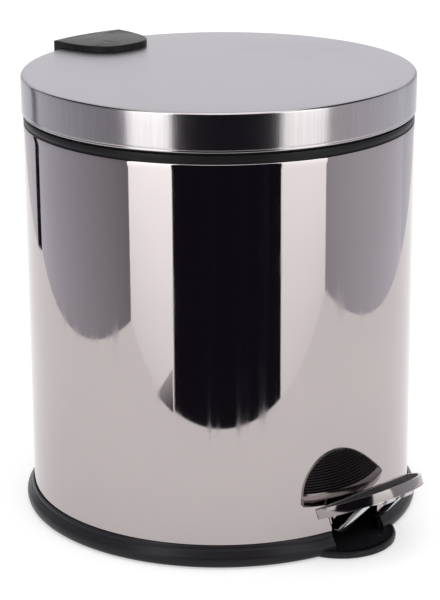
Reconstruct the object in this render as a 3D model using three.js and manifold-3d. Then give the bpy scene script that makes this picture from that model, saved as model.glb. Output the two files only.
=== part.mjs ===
// Round steel pedal bin with a lift-out inner bucket. Millimetres, +Z up. The floor is z = 0,
// the bin stands with its axis on Z, the pedal points to -Y and the hinge is at +Y.
import * as THREE from "three";
import { mergeVertices } from "three/addons/utils/BufferGeometryUtils.js";
import Module from "manifold-3d";

const wasm = await Module();
wasm.setup();

// Overall sizes
const bodyRadius = 125; // outside of the steel shell
const bodyTop = 256.7; // upper edge of the shell
const sheet = 0.8; // steel sheet of shell and lid
const gap = 0.3; // clearance between pieces that meet
const boltGap = 0.3; // clearance of a shank in its hole
const sides = 48; // facets of everything turned round the bin's axis
const smallSides = 16; // facets of pins and screws
const wireSides = 12; // facets of bent wires
const bendSteps = 4; // steps in each bend of a wire
const deg = Math.PI / 180;

// Base tray
const baseHeight = 14.5; // top of the lip that hugs the shell
const baseFlare = 5; // how far the band stands out from the shell
const baseLift = 0.5; // underside above the floor, where only the feet touch
const floorTop = 2.7; // upper face of the tray's floor
const footRadius = 7;
const footHeight = 1.4;
const footIn = 42.28; // feet stand on a square, its half side this much less than the shell's radius
const tongueRadius = 36; // round toe plate under the pedal
const tongueReach = 21; // how far it reaches past the shell
const tongueHeight = 4.8;
const tongueRim = 2.4;
const tongueDish = 1.6; // how deep its top is dished
const bossRadius = 15; // round boss under the floor, level with the feet
const lipWidth = 1.3; // top of the lip, out from the shell
const lipStep = 1.8; // foot of the lip, out from the shell
const baseScrewTurns = { left: 180 * deg, right: 0, rear: 90 * deg };
const baseScrewHeight = 7.5;
const baseScrewReach = 3; // tip past the shell's outside

// Slot in the shell for the lever
const slotHalf = 21;
const slotTop = 24.5;
const slotCorner = 6;

// Top collar
const collarDepth = 12.7; // how far it reaches down into the shell
const collarWall = 2;
const bandHeight = 5.4; // visible black band over the shell's edge
const deckRise = 9.3; // upper face of the deck above the shell's edge
const deckEdge = 3.8; // deck edge, in from the shell's outside
const seatLip = 24; // bucket opening, in from the shell's outside
const seatWidth = 3.6;
const seatDrop = 3.5;
const deckThickness = 2.5;
const softEdge = 0.6; // small slope on the collar's and the bucket's upper edges
const cushionIn = 0.8; // cushion ring, in from the shell's outside
const cushionWidth = 1.7;

// Lid
const lidGap = 7.1; // lid's lower edge above the shell's edge
const lidDepth = 24.4;
const lidOver = 0.7; // lid's radius past the shell's
const lidRound = 2.2;
const hemWidth = 1.7;
const hemHeight = 0.9;

// Hinge
const hingeOut = 1; // pin's centre past the shell's outside
const hingeUp = 4.2; // pin's centre above the lid's lower edge
const pinRadius = 2;
const knuckleRadius = 4.2;
const knuckleHalf = 6.5;
const earThickness = 2;
const armLength = 15; // from the hinge pin to the push rod's hook
const armDrop = 40 * deg; // the arm's angle below level, lid closed
const pinHead = 1.3; // pin's head and its clip, out from the pin
const pinHeadHeight = 1.5;
const pinClip = 1;
const hookRadius = 1.7;
const slotClearance = 0.9;
const flangeDepth = 20;
const flangeIn = 14; // flange's rear edge, in from the pin
const flangeThickness = 2.1;
const flangeSpread = 3; // flange and the room cut for the arm, past the ears
const bracketThickness = 2.5;
const bracketHalf = 14;
const bracketDrop = 34.7; // bracket's lower edge below the shell's edge
const hingeScrewDrops = [6.7, 24.7]; // below the shell's edge
const screwRadius = 1.6;
const screwHead = 3.2;
const screwHeadHeight = 2;
const nutThickness = 2.4;
const screwPast = 1.5; // screw's end past its nut

// Cap over the hinge
const coverHalf = 28.7;
const coverDepth = 45.5;
const coverPower = 2.77;
const coverOut = 7.7; // rear face past the shell's outside
const coverRise = 5; // above the lid
const coverWall = 1.8;
const coverSkirt = 2.2; // lower edge above the lid's lower edge
const coverBevel = 1;
const rivetHalf = 8;
const rivetHeadHeight = 1.4;
const capBossRadius = 4;

// Pedal
const pedalHalf = 42;
const pedalDepth = 39.5;
const pedalPower = 2.08;
const pedalTilt = 24.3 * deg;
const pedalHeight = 35.8; // top of the straight rear edge
const pedalGap = 1.5; // rear edge to shell
const pedalRim = 6.2;
const pedalWall = 1.4;
const pedalCorner = 2.6;
const padInset = 1.9;
const padStart = 5.4; // steel margin left along the rear edge
const padRecess = 1.6;
const panThickness = 1.4;
const ribPitch = 2.3;
const ribWidth = 1.1;
const ribHeight = 0.5;

// Lever
const wireRadius = 2.1;
const leverBend = 3.6;
const legHalf = 17.5;
const legHeight = 15.3; // wire's centre above the floor, in the bin
const pivotIn = 80; // lever pivot, in from the knee at the wall
const kneeOut = 2.4; // knee past the shell
const axleRadius = 2.5;
const sleeveRadius = 4.3;
const sleeveHalf = 22;
const postWidth = 5;
const postHalfDepth = 6;
const axleClip = 1.5;
const axleClipOut = 2.2; // clip, out from the axle
const axleEnd = 1.2; // axle's end past its clip
const legMeets = 25; // where the leg meets the pan, forward of its rear edge
const crossMeets = 32; // where the wire crosses under the pan
const clipHalf = 4;
const clipThickness = 1.2;
const clipPlace = 8;
const clipTab = 8;

// Push rod
const rodRadius = 2;
const guideDrops = [196.7, 28.7]; // below the shell's edge
const guideHeight = 6;
const guideHalf = 5;
const guideBore = 0.4; // room round the rod
const shoeHalf = 3.4;
const shoeDepth = 5; // half its length along the lever
const shoeSide = 1.4; // room beside the wire
const shoeRise = 8.7; // its top above the wire's centre
const shoeDrop = 1.8; // its cheeks below the wire's centre
const shoeFloor = 3; // its solid part between the wire and the rod
const hookStraight = 5; // bent end of the rod, below the hook

// Bucket and bail
const bucketFloor = 38; // underside above the floor
const bucketWall = 1.8;
const bucketTaper = 8;
const rimThickness = 2.2;
const rimIn = 0.4; // rim's edge, in from the seat's edge
const wallIn = 0.6; // wall's outside, in from the seat's opening
const bucketFloorThickness = 2;
const bucketCorner = 2.5;
const bailWire = 2;
const bailRise = 4.3; // bail's axis above the bucket's rim
const gripRadius = 4;
const gripAngle = 17 * deg;
const lugHalf = 6;
const lugThickness = 3.6;
const lugIn = 1; // lug's face, in from the wall's outside
const lugDepth = 8; // lug's foot below the seat
const bailBend = 3;
const bailPast = 1.2; // wire's end past the lug

// Places that follow
const shellInside = bodyRadius - sheet;
const lidBottom = bodyTop + lidGap;
const lidTop = lidBottom + lidDepth;
const lidRadius = bodyRadius + lidOver;
const hingeY = bodyRadius + hingeOut;
const hingeZ = lidBottom + hingeUp;
const rodX = knuckleHalf + gap + earThickness + gap + rodRadius;
const rodY = hingeY - armLength * Math.cos(armDrop);
const hookZ = hingeZ - armLength * Math.sin(armDrop);
const pivotY = pivotIn - bodyRadius - hingeOut;
const deckTop = bodyTop + deckRise;
const bandTop = bodyTop + gap + bandHeight;
const seatZ = deckTop - seatDrop;
const seatRadius = bodyRadius - seatLip;
const rimTop = seatZ + gap + rimThickness;
const bailZ = rimTop + bailRise;
const bailRadius = seatRadius + bailWire / 2 - 0.2;
const coverRadius = bodyRadius + coverOut;
const rivetY = hingeY - flangeIn - flangeDepth * 0.6;
const earNear = knuckleHalf + gap; // inner and outer face of the arm's ears
const earFar = earNear + earThickness;
const armRoom = knuckleHalf + earThickness + flangeSpread;
const armTip = hookRadius + slotClearance + 2; // round end of the arm
const flangeTop = lidTop - sheet - gap;
const panUnder = -padRecess - panThickness; // underside of the pan, below the pedal's plane
const wireDrop = panUnder - gap - wireRadius; // wire's centre below the pedal's plane
const clipRivetAt = crossMeets - wireRadius - gap - clipThickness - clipTab / 2;
const pedalY = -bodyRadius - pedalGap;

const steel = new THREE.MeshStandardMaterial({ color: 0xc9c5c6, roughness: 0.12, metalness: 1 });
const satin = new THREE.MeshStandardMaterial({ color: 0xbebbc2, roughness: 0.4, metalness: 1 });
const zinc = new THREE.MeshStandardMaterial({ color: 0xb4b4b8, roughness: 0.3, metalness: 1 });
const plastic = new THREE.MeshStandardMaterial({ color: 0x1b1a1e, roughness: 0.45, metalness: 0 });
const rubber = new THREE.MeshStandardMaterial({ color: 0x151517, roughness: 0.8, metalness: 0 });

// A closed geometry as a manifold-3d solid that faces outwards.
function solid(geometry) {
  const bare = geometry.clone();
  bare.deleteAttribute("normal");
  bare.deleteAttribute("uv");
  const merged = mergeVertices(bare, 1e-4);
  const corners = merged.index.array;
  const faces = [];
  for (let i = 0; i < corners.length; i += 3) {
    const [a, b, c] = corners.slice(i, i + 3);
    if (a !== b && b !== c && c !== a) faces.push([a, b, c]);
  }
  const make = (list) =>
    new wasm.Manifold(
      new wasm.Mesh({
        numProp: 3,
        vertProperties: merged.attributes.position.array,
        triVerts: new Uint32Array(list.flat()),
      }),
    );
  const made = make(faces);
  return made.volume() > 0 ? made : make(faces.map(([a, b, c]) => [a, c, b]));
}

function join(...solids) {
  return solids.reduce((all, one) => all.add(one));
}

function cut(from, ...solids) {
  return solids.reduce((left, one) => left.subtract(one), from);
}

// A named mesh from a solid.
function piece(name, made, material) {
  const mesh = made.getMesh();
  const geometry = new THREE.BufferGeometry();
  const points = new Float32Array(mesh.numVert * 3);
  for (let i = 0; i < mesh.numVert; i += 1) {
    points.set(mesh.vertProperties.subarray(i * mesh.numProp, i * mesh.numProp + 3), i * 3);
  }
  geometry.setAttribute("position", new THREE.BufferAttribute(points, 3));
  geometry.setIndex(new THREE.BufferAttribute(mesh.triVerts, 1));
  geometry.computeVertexNormals();
  const result = new THREE.Mesh(geometry, material);
  result.name = name;
  return result;
}

// A profile of [radius, height] pairs turned round Z; one that starts and ends on the axis is a
// full body, any other closes on itself.
function turned(profile, facets = sides) {
  const points = profile.map(([radius, height]) => new THREE.Vector2(radius, height));
  if (profile[0][0] > 0) points.push(points[0].clone());
  const geometry = new THREE.LatheGeometry(points, facets);
  geometry.rotateX(Math.PI / 2);
  return solid(geometry);
}

function disc(radius, low, high, facets = sides) {
  return turned([[0, low], [radius, low], [radius, high], [0, high]], facets);
}

function box(low, high) {
  const size = high.map((value, axis) => value - low[axis]);
  const geometry = new THREE.BoxGeometry(...size);
  geometry.translate(...low.map((value, axis) => value + size[axis] / 2));
  return solid(geometry);
}

// A round bar between two points.
function bar(radius, from, to, facets = smallSides) {
  const start = new THREE.Vector3(...from);
  const along = new THREE.Vector3(...to).sub(start);
  const geometry = new THREE.CylinderGeometry(radius, radius, along.length(), facets);
  geometry.translate(0, along.length() / 2, 0);
  const turn = new THREE.Quaternion().setFromUnitVectors(
    new THREE.Vector3(0, 1, 0),
    along.clone().normalize(),
  );
  geometry.applyQuaternion(turn);
  geometry.translate(...from);
  return solid(geometry);
}

// An outline of [x, y] pairs raised from low to high.
function prism(outline, low, high) {
  const shape = new THREE.Shape(outline.map(([x, y]) => new THREE.Vector2(x, y)));
  const geometry = new THREE.ExtrudeGeometry(shape, { depth: high - low, bevelEnabled: false });
  geometry.translate(0, 0, low);
  return solid(geometry);
}

// An outline of [y, z] pairs as a plate between two x planes.
function plate(outline, low, high) {
  const shape = new THREE.Shape(outline.map(([y, z]) => new THREE.Vector2(y, z)));
  const geometry = new THREE.ExtrudeGeometry(shape, { depth: high - low, bevelEnabled: false });
  geometry.translate(0, 0, low);
  const swap = new THREE.Matrix4().set(0, 0, 1, 0, 1, 0, 0, 0, 0, 1, 0, 0, 0, 0, 0, 1);
  geometry.applyMatrix4(swap);
  return solid(geometry);
}

// A run of points that is swept point to point, so that a straight takes one step.
class Route extends THREE.Curve {
  constructor(points) {
    super();
    this.points = points;
  }
  getUtoTmapping(u) {
    return u;
  }
  getPoint(t, target = new THREE.Vector3()) {
    const along = t * (this.points.length - 1);
    const from = Math.min(Math.floor(along), this.points.length - 2);
    return target.copy(this.points[from]).lerp(this.points[from + 1], along - from);
  }
}

// A route through the points with each corner rounded, the bend starting that far from it.
function bentRoute(points, bend) {
  const corners = points.map((point) => new THREE.Vector3(...point));
  const route = [corners[0]];
  for (let i = 1; i < corners.length - 1; i += 1) {
    const before = corners[i - 1].clone().sub(corners[i]).setLength(bend).add(corners[i]);
    const after = corners[i + 1].clone().sub(corners[i]).setLength(bend).add(corners[i]);
    route.push(...new THREE.QuadraticBezierCurve3(before, corners[i], after).getPoints(bendSteps));
  }
  route.push(corners[corners.length - 1]);
  return new Route(route);
}

// A round wire, or a tube if it has a bore, along a route.
function wire(route, radius, bore = 0) {
  const section = new THREE.Shape();
  section.absarc(0, 0, radius, 0, 2 * Math.PI);
  if (bore) section.holes.push(new THREE.Path().absarc(0, 0, bore, 0, 2 * Math.PI, true));
  const geometry = new THREE.ExtrudeGeometry(section, {
    steps: route.points.length - 1,
    extrudePath: route,
    curveSegments: wireSides / 2,
  });
  return solid(geometry);
}

// Points on a circle about Z at a given height, from one angle to another.
function arcPoints(radius, height, from, to, count) {
  const points = [];
  for (let i = 0; i <= count; i += 1) {
    const angle = from + ((to - from) * i) / count;
    points.push(new THREE.Vector3(radius * Math.cos(angle), radius * Math.sin(angle), height));
  }
  return points;
}

// Point of a superellipse quarter turn, both halves when the angle runs from 0 to 180 degrees.
function superPoint(half, depth, power, angle) {
  const across = Math.sign(Math.cos(angle)) * Math.abs(Math.cos(angle)) ** (2 / power);
  return [half * across, depth * Math.sin(angle) ** (2 / power)];
}

function bodyShell() {
  const low = floorTop + gap;
  const tube = turned([
    [bodyRadius, low],
    [bodyRadius, bodyTop],
    [shellInside, bodyTop],
    [shellInside, low],
  ]);
  const holes = hingeScrewDrops.map((drop) =>
    bar(screwRadius + boltGap, [0, shellInside - 5, bodyTop - drop], [0, bodyRadius + 5, bodyTop - drop]),
  );
  return piece("body_shell", cut(tube, leverSlot(), ...holes, ...baseScrewHoles()), steel);
}

// The arched opening that the lever's legs pass through.
function leverSlot() {
  const arch = new THREE.Shape();
  arch.moveTo(-slotHalf, 0);
  arch.lineTo(slotHalf, 0);
  arch.lineTo(slotHalf, slotTop - slotCorner);
  arch.absarc(slotHalf - slotCorner, slotTop - slotCorner, slotCorner, 0, Math.PI / 2);
  arch.absarc(slotCorner - slotHalf, slotTop - slotCorner, slotCorner, Math.PI / 2, Math.PI);
  const geometry = new THREE.ExtrudeGeometry(arch, {
    depth: bodyRadius / 2,
    bevelEnabled: false,
    curveSegments: 6,
  });
  geometry.rotateX(Math.PI / 2);
  geometry.translate(0, -bodyRadius * 0.7, 0);
  return solid(geometry);
}

// A round bar along a radius of the bin.
function radialBar(radius, turn, from, to, height) {
  const c = Math.cos(turn);
  const s = Math.sin(turn);
  return bar(radius, [from * c, from * s, height], [to * c, to * s, height]);
}

function baseScrewHoles() {
  const end = bodyRadius + baseScrewReach + 2 * gap;
  return Object.values(baseScrewTurns).map((turn) =>
    radialBar(screwRadius + boltGap, turn, shellInside - 4, end, baseScrewHeight),
  );
}

// Screws through the shell into the base band, at the left, the right and the rear.
function baseScrews() {
  return Object.entries(baseScrewTurns).map(([side, turn]) => {
    const seat = shellInside - gap;
    const screw = join(
      radialBar(screwHead, turn, seat - screwHeadHeight, seat, baseScrewHeight),
      radialBar(screwRadius, turn, seat - 1, bodyRadius + baseScrewReach, baseScrewHeight),
    );
    return piece(`base_screw_${side}`, screw, zinc);
  });
}

function footPlaces() {
  const reach = bodyRadius - footIn;
  const places = { front_left: [-1, -1], front_right: [1, -1], rear_left: [-1, 1], rear_right: [1, 1] };
  return Object.entries(places).map(([name, [x, y]]) => [name, x * reach, y * reach]);
}

function baseTray() {
  const lipInside = bodyRadius + gap;
  const outer = bodyRadius + baseFlare;
  const bulge = baseHeight - baseLift; // the band bulges out to its full flare a third of the way up
  const tray = turned([
    [0, baseLift],
    [outer - baseFlare * 0.44, baseLift],
    [outer - baseFlare * 0.14, baseLift + bulge * 0.086],
    [outer, baseLift + bulge * 0.32],
    [outer - baseFlare * 0.08, baseLift + bulge * 0.565],
    [bodyRadius + baseFlare * 0.68, baseLift + bulge * 0.736],
    [bodyRadius + lipStep + gap, baseLift + bulge * 0.807],
    [bodyRadius + lipStep, baseHeight - 3 * gap],
    [bodyRadius + lipWidth, baseHeight],
    [lipInside, baseHeight],
    [lipInside, floorTop],
    [0, floorTop],
  ]);
  const toeY = tongueRadius - bodyRadius - tongueReach;
  const toe = disc(tongueRadius, baseLift, tongueHeight, 48);
  const dish = disc(tongueRadius - tongueRim, tongueHeight - tongueDish, tongueHeight + 1, 48);
  const toeAt = (made) => made.translate([0, toeY, 0]);
  const inside = disc(lipInside, floorTop, baseHeight + 1);
  const way = slotHalf + 1; // the lever's way out through the band
  const lever = box([-way, -outer - 5, tongueHeight - tongueDish], [way, 0, baseHeight + 1]);
  const toePlate = cut(toeAt(toe), inside, toeAt(dish));
  const boss = disc(bossRadius, 0, floorTop - 0.5, 40);
  const posts = [-1, 1].map((side) => {
    const near = side * (sleeveHalf + gap);
    const far = side * (sleeveHalf + gap + postWidth);
    const low = [Math.min(near, far), pivotY - postHalfDepth, floorTop - 0.5];
    const high = [Math.max(near, far), pivotY + postHalfDepth, legHeight];
    const head = bar(postHalfDepth, [near, pivotY, legHeight], [far, pivotY, legHeight], 32);
    return join(box(low, high), head);
  });
  const reach = sleeveHalf + postWidth + 10;
  const bore = bar(axleRadius + boltGap, [-reach, pivotY, legHeight], [reach, pivotY, legHeight]);
  const sockets = footPlaces().map(([, x, y]) =>
    disc(footRadius + gap, -1, footHeight + gap, 32).translate([x, y, 0]),
  );
  const body = cut(join(cut(tray, lever), toePlate, boss, ...posts), bore, ...sockets);
  return piece("base_tray", cut(body, ...baseScrewHoles()), plastic);
}

function feet() {
  return footPlaces().map(([name, x, y]) => {
    const foot = piece(`foot_${name}`, disc(footRadius, 0, footHeight, 32), rubber);
    foot.position.set(x, y, 0);
    return foot;
  });
}

function topCollar() {
  const outside = shellInside - gap;
  const band = bodyRadius - gap;
  const low = bodyTop + gap;
  const deckOut = bodyRadius - deckEdge;
  const ring = turned([
    [outside - collarWall, bodyTop - collarDepth],
    [outside, bodyTop - collarDepth],
    [outside, low],
    [band, low],
    [band, bandTop - softEdge],
    [band - softEdge, bandTop],
    [deckOut, bandTop],
    [deckOut, deckTop - softEdge],
    [deckOut - softEdge, deckTop],
    [seatRadius + seatWidth, deckTop],
    [seatRadius + seatWidth, seatZ],
    [seatRadius, seatZ],
    [seatRadius, seatZ - deckThickness],
    [outside - collarWall, seatZ - deckThickness],
  ]);
  const windowLow = [rodX - rodRadius - 4, rodY - armTip - 4.1, bodyTop - collarDepth - 1];
  const window = box(windowLow, [rodX + rodRadius + 1, outside - collarWall, lidTop]);
  const holes = hingeScrewDrops.map((drop) =>
    bar(screwRadius + boltGap, [0, outside - 8, bodyTop - drop], [0, bodyRadius + 5, bodyTop - drop]),
  );
  return piece("top_collar", cut(ring, window, armNotch(), ...holes), plastic);
}

// Cleared space for the arm where it crosses the collar's edge.
function armNotch() {
  const side = 2 * gap; // clear of the arm's faces
  return box([earNear - side, bodyRadius - 8, bodyTop + 1.1], [earFar + side, hingeY + 2, lidTop]);
}

function cushionRing() {
  const low = bandTop + gap;
  const high = lidBottom - gap;
  const outer = bodyRadius - cushionIn;
  const inner = outer - cushionWidth;
  const ring = turned([[inner, low], [outer, low], [outer, high], [inner, high]]);
  const room = box([-armRoom, 0, low - 1], [armRoom, hingeY, high + 1]);
  return piece("cushion_ring", cut(ring, room), rubber);
}

function hingeBracket() {
  const inner = bodyRadius + gap;
  const outer = inner + bracketThickness;
  const low = bodyTop - bracketDrop;
  const high = bodyTop;
  const ring = turned([[inner, low], [outer, low], [outer, high], [inner, high]]);
  const foot = ring.intersect(box([-bracketHalf, 0, low], [bracketHalf, outer + 1, high]));
  const tower = box([-knuckleHalf, inner, low + 2], [knuckleHalf, outer, hingeZ]);
  const knuckle = bar(knuckleRadius, [-knuckleHalf, hingeY, hingeZ], [knuckleHalf, hingeY, hingeZ]);
  const bore = bar(pinRadius + boltGap, [-20, hingeY, hingeZ], [20, hingeY, hingeZ]);
  const holes = hingeScrewDrops.map((drop) =>
    bar(screwRadius + boltGap, [0, bodyRadius - 2, bodyTop - drop], [0, outer + 2, bodyTop - drop]),
  );
  return piece("hinge_bracket", cut(join(foot, tower, knuckle), bore, ...holes), plastic);
}

// Screws that hold the bracket, each with a nut inside. The upper one also holds the collar.
function hingeScrews() {
  const names = ["upper", "lower"];
  const face = bodyRadius + gap + bracketThickness + gap;
  return hingeScrewDrops.flatMap((drop, i) => {
    const z = bodyTop - drop;
    const inside = i === 0 ? shellInside - gap - collarWall : shellInside;
    const nutFace = inside - gap;
    const screw = join(
      bar(screwHead, [0, face, z], [0, face + screwHeadHeight, z]),
      bar(screwRadius, [0, nutFace - nutThickness - screwPast, z], [0, face + 1, z]),
    );
    const nut = cut(
      bar(screwHead, [0, nutFace - nutThickness, z], [0, nutFace, z], 6),
      bar(screwRadius + boltGap, [0, nutFace - 8, z], [0, nutFace + 4, z]),
    );
    return [
      piece(`hinge_screw_${names[i]}`, screw, zinc),
      piece(`hinge_nut_${names[i]}`, nut, zinc),
    ];
  });
}

function hingePin() {
  const near = earFar + gap;
  const head = pinRadius + pinHead;
  const pin = join(
    bar(pinRadius, [-near - 1, hingeY, hingeZ], [near + pinClip + gap, hingeY, hingeZ]),
    bar(head, [-near - pinHeadHeight, hingeY, hingeZ], [-near, hingeY, hingeZ]),
  );
  const washer = cut(
    bar(head, [near, hingeY, hingeZ], [near + pinClip, hingeY, hingeZ]),
    bar(pinRadius + boltGap, [near - 3, hingeY, hingeZ], [near + 5, hingeY, hingeZ]),
  );
  return [piece("hinge_pin", pin, zinc), piece("hinge_pin_clip", washer, zinc)];
}

function lidShell() {
  const inside = lidRadius - sheet;
  const profile = [[0, lidTop]];
  const steps = 4;
  for (let i = 0; i <= steps; i += 1) {
    const angle = (90 - (90 * i) / steps) * deg;
    profile.push([
      lidRadius - lidRound + lidRound * Math.cos(angle),
      lidTop - lidRound + lidRound * Math.sin(angle),
    ]);
  }
  profile.push(
    [lidRadius, lidBottom + 0.5],
    [lidRadius - 0.4, lidBottom],
    [lidRadius - hemWidth, lidBottom],
    [lidRadius - hemWidth, lidBottom + hemHeight],
    [inside, lidBottom + 1.6],
    [inside, lidTop - lidRound],
    [inside - 1, lidTop - sheet],
    [0, lidTop - sheet],
  );
  const notchHigh = lidTop - lidRound;
  const notch = box([-armRoom, bodyRadius - 6, lidBottom - 5], [armRoom, lidRadius + 4, notchHigh]);
  const holes = [-1, 1].map((side) =>
    bar(screwRadius + boltGap, [side * rivetHalf, rivetY, lidTop - 5], [side * rivetHalf, rivetY, lidTop + 5]),
  );
  return piece("lid_shell", cut(turned(profile), notch, ...holes), satin);
}

// Outline of the hinge cap: a flattened round front and a rear edge concentric with the bin.
function coverOutline(inset) {
  const half = coverHalf - inset;
  const radius = coverRadius - inset;
  const sideY = Math.sqrt(coverRadius ** 2 - coverHalf ** 2);
  const frontSteps = 28;
  const rearSteps = 10;
  const outline = [];
  for (let i = 0; i <= frontSteps; i += 1) {
    const [x, depth] = superPoint(half, coverDepth - inset, coverPower, (Math.PI * i) / frontSteps);
    outline.push([x, sideY - depth]);
  }
  const turn = Math.asin(half / radius);
  for (let i = 1; i < rearSteps; i += 1) {
    const angle = -turn + (2 * turn * i) / rearSteps;
    outline.push([radius * Math.sin(angle), radius * Math.cos(angle)]);
  }
  return outline;
}

function hingeCover() {
  const top = lidTop + coverRise;
  const low = lidBottom + coverSkirt;
  const shape = new THREE.Shape(coverOutline(0).map(([x, y]) => new THREE.Vector2(x, y)));
  const geometry = new THREE.ExtrudeGeometry(shape, {
    depth: top - low + 4,
    bevelThickness: coverBevel,
    bevelSize: coverBevel,
    bevelOffset: -coverBevel,
    bevelSegments: 3,
  });
  geometry.translate(0, 0, low - 4 - coverBevel);
  const below = box([-100, 0, low - 20], [100, hingeY + 60, low]);
  const overLid = disc(lidRadius + gap, low - 20, lidTop + gap);
  const cavity = prism(coverOutline(coverWall), low - 20, top - coverWall);
  const towerNotch = box(
    [-knuckleHalf - 1, hingeY + 2, low - 2],
    [knuckleHalf + 1, coverRadius + 2, hingeZ + 3],
  );
  const bossHigh = top - coverWall + 0.2;
  const bosses = [-1, 1].map((side) =>
    bar(capBossRadius, [side * rivetHalf, rivetY, lidTop + gap], [side * rivetHalf, rivetY, bossHigh]),
  );
  const blindHigh = top - coverWall - 0.2;
  const blind = [-1, 1].map((side) =>
    bar(screwRadius + boltGap, [side * rivetHalf, rivetY, lidTop - 3], [side * rivetHalf, rivetY, blindHigh]),
  );
  const cap = cut(solid(geometry), below, overLid, cavity, towerNotch);
  return piece("hinge_cover", cut(join(cap, ...bosses), ...blind), plastic);
}

// The steel bracket under the lid: a flange, two ears round the hinge pin, and on the right ear
// the slotted arm that the push rod lifts.
function lidHingeArm() {
  const high = flangeTop;
  const rear = hingeY - flangeIn;
  const side = armRoom + 0.5;
  const flange = box([-side, rear - flangeDepth, high - flangeThickness], [side, rear, high]);
  const earOutline = [
    [rear - 7, high],
    [rear + 7, high],
    [hingeY + knuckleRadius * Math.cos(30 * deg), hingeZ + knuckleRadius * Math.sin(30 * deg)],
    [hingeY - knuckleRadius * Math.cos(30 * deg), hingeZ - knuckleRadius * Math.sin(30 * deg)],
  ];
  const near = earNear;
  const far = earFar;
  const ear = (low, wide) =>
    join(plate(earOutline, low, wide), bar(knuckleRadius, [low, hingeY, hingeZ], [wide, hingeY, hingeZ]));
  const down = [-Math.cos(armDrop), -Math.sin(armDrop)];
  const aside = [-down[1], down[0]];
  const spot = (along, across) => [
    hingeY + down[0] * along + aside[0] * across,
    hingeZ + down[1] * along + aside[1] * across,
  ];
  const arm = join(
    plate([spot(0, -4.1), spot(armLength, -armTip), spot(armLength, armTip), spot(0, 4.1)], near, far),
    bar(armTip, [near, rodY, hookZ], [far, rodY, hookZ], 28),
  );
  const slotRadius = hookRadius + slotClearance;
  const slotStart = armLength * Math.cos(armDrop);
  const startSpot = spot(slotStart, 0);
  const slot = join(
    bar(slotRadius, [near - 1, rodY, hookZ], [far + 1, rodY, hookZ]),
    bar(slotRadius, [near - 1, ...startSpot], [far + 1, ...startSpot]),
    plate(
      [
        spot(slotStart, -slotRadius),
        spot(armLength, -slotRadius),
        spot(armLength, slotRadius),
        spot(slotStart, slotRadius),
      ],
      near - 1,
      far + 1,
    ),
  );
  const bore = bar(pinRadius + boltGap, [-30, hingeY, hingeZ], [30, hingeY, hingeZ]);
  const holes = [-1, 1].map((side) =>
    bar(screwRadius + boltGap, [side * rivetHalf, rivetY, high - 5], [side * rivetHalf, rivetY, high + 5]),
  );
  const whole = join(flange, ear(near, far), ear(-far, -near), arm);
  return piece("lid_hinge_arm", cut(whole, slot, bore, ...holes), zinc);
}

function lidRivets() {
  const under = flangeTop - flangeThickness - gap;
  const top = lidTop + coverRise - coverWall - 0.8;
  return [-1, 1].map((side) => {
    const x = side * rivetHalf;
    const rivet = join(
      bar(screwHead, [x, rivetY, under - rivetHeadHeight], [x, rivetY, under]),
      bar(screwRadius, [x, rivetY, under - 1], [x, rivetY, top]),
    );
    return piece(side < 0 ? "lid_rivet_left" : "lid_rivet_right", rivet, zinc);
  });
}

// Outline of the pedal in its own plane: straight along the rear, round to the front at -Y.
function pedalOutline(inset, start) {
  const half = pedalHalf - inset;
  const depth = pedalDepth - inset;
  const from = Math.asin(((start + pedalCorner) / depth) ** (pedalPower / 2));
  const steps = 30;
  const outline = [];
  for (let i = 0; i <= steps; i += 1) {
    const angle = from + ((Math.PI - 2 * from) * i) / steps;
    const [x, forward] = superPoint(half, depth, pedalPower, angle);
    outline.push([x, -forward]);
  }
  const corner = outline[0][0] - pedalCorner * 0.8;
  outline.push([-corner, -start], [corner, -start]);
  return outline;
}

function pedalPlate() {
  const full = prism(pedalOutline(0, 0), -pedalRim, 0);
  const hollow = prism(pedalOutline(pedalWall, pedalWall), -pedalRim - 1, panUnder);
  const recess = prism(pedalOutline(padInset, padStart), -padRecess, 1);
  const holes = [-1, 1].map((side) =>
    bar(
      screwRadius + boltGap,
      [side * clipPlace, -clipRivetAt, -pedalRim],
      [side * clipPlace, -clipRivetAt, 1],
    ),
  );
  return piece("pedal_plate", cut(full, hollow, recess, ...holes), steel);
}

function pedalPad() {
  const outline = pedalOutline(padInset + gap, padStart + gap);
  const base = prism(outline, gap - padRecess, -ribHeight);
  const ribs = [];
  for (let forward = padStart + 1.5; forward < pedalDepth - padInset - 1; forward += ribPitch) {
    ribs.push(box([-pedalHalf, -forward - ribWidth, -ribHeight - 0.3], [pedalHalf, -forward, 0]));
  }
  const ribbed = join(...ribs).intersect(prism(outline, -padRecess, 1));
  return piece("pedal_pad", join(base, ribbed), rubber);
}

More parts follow.
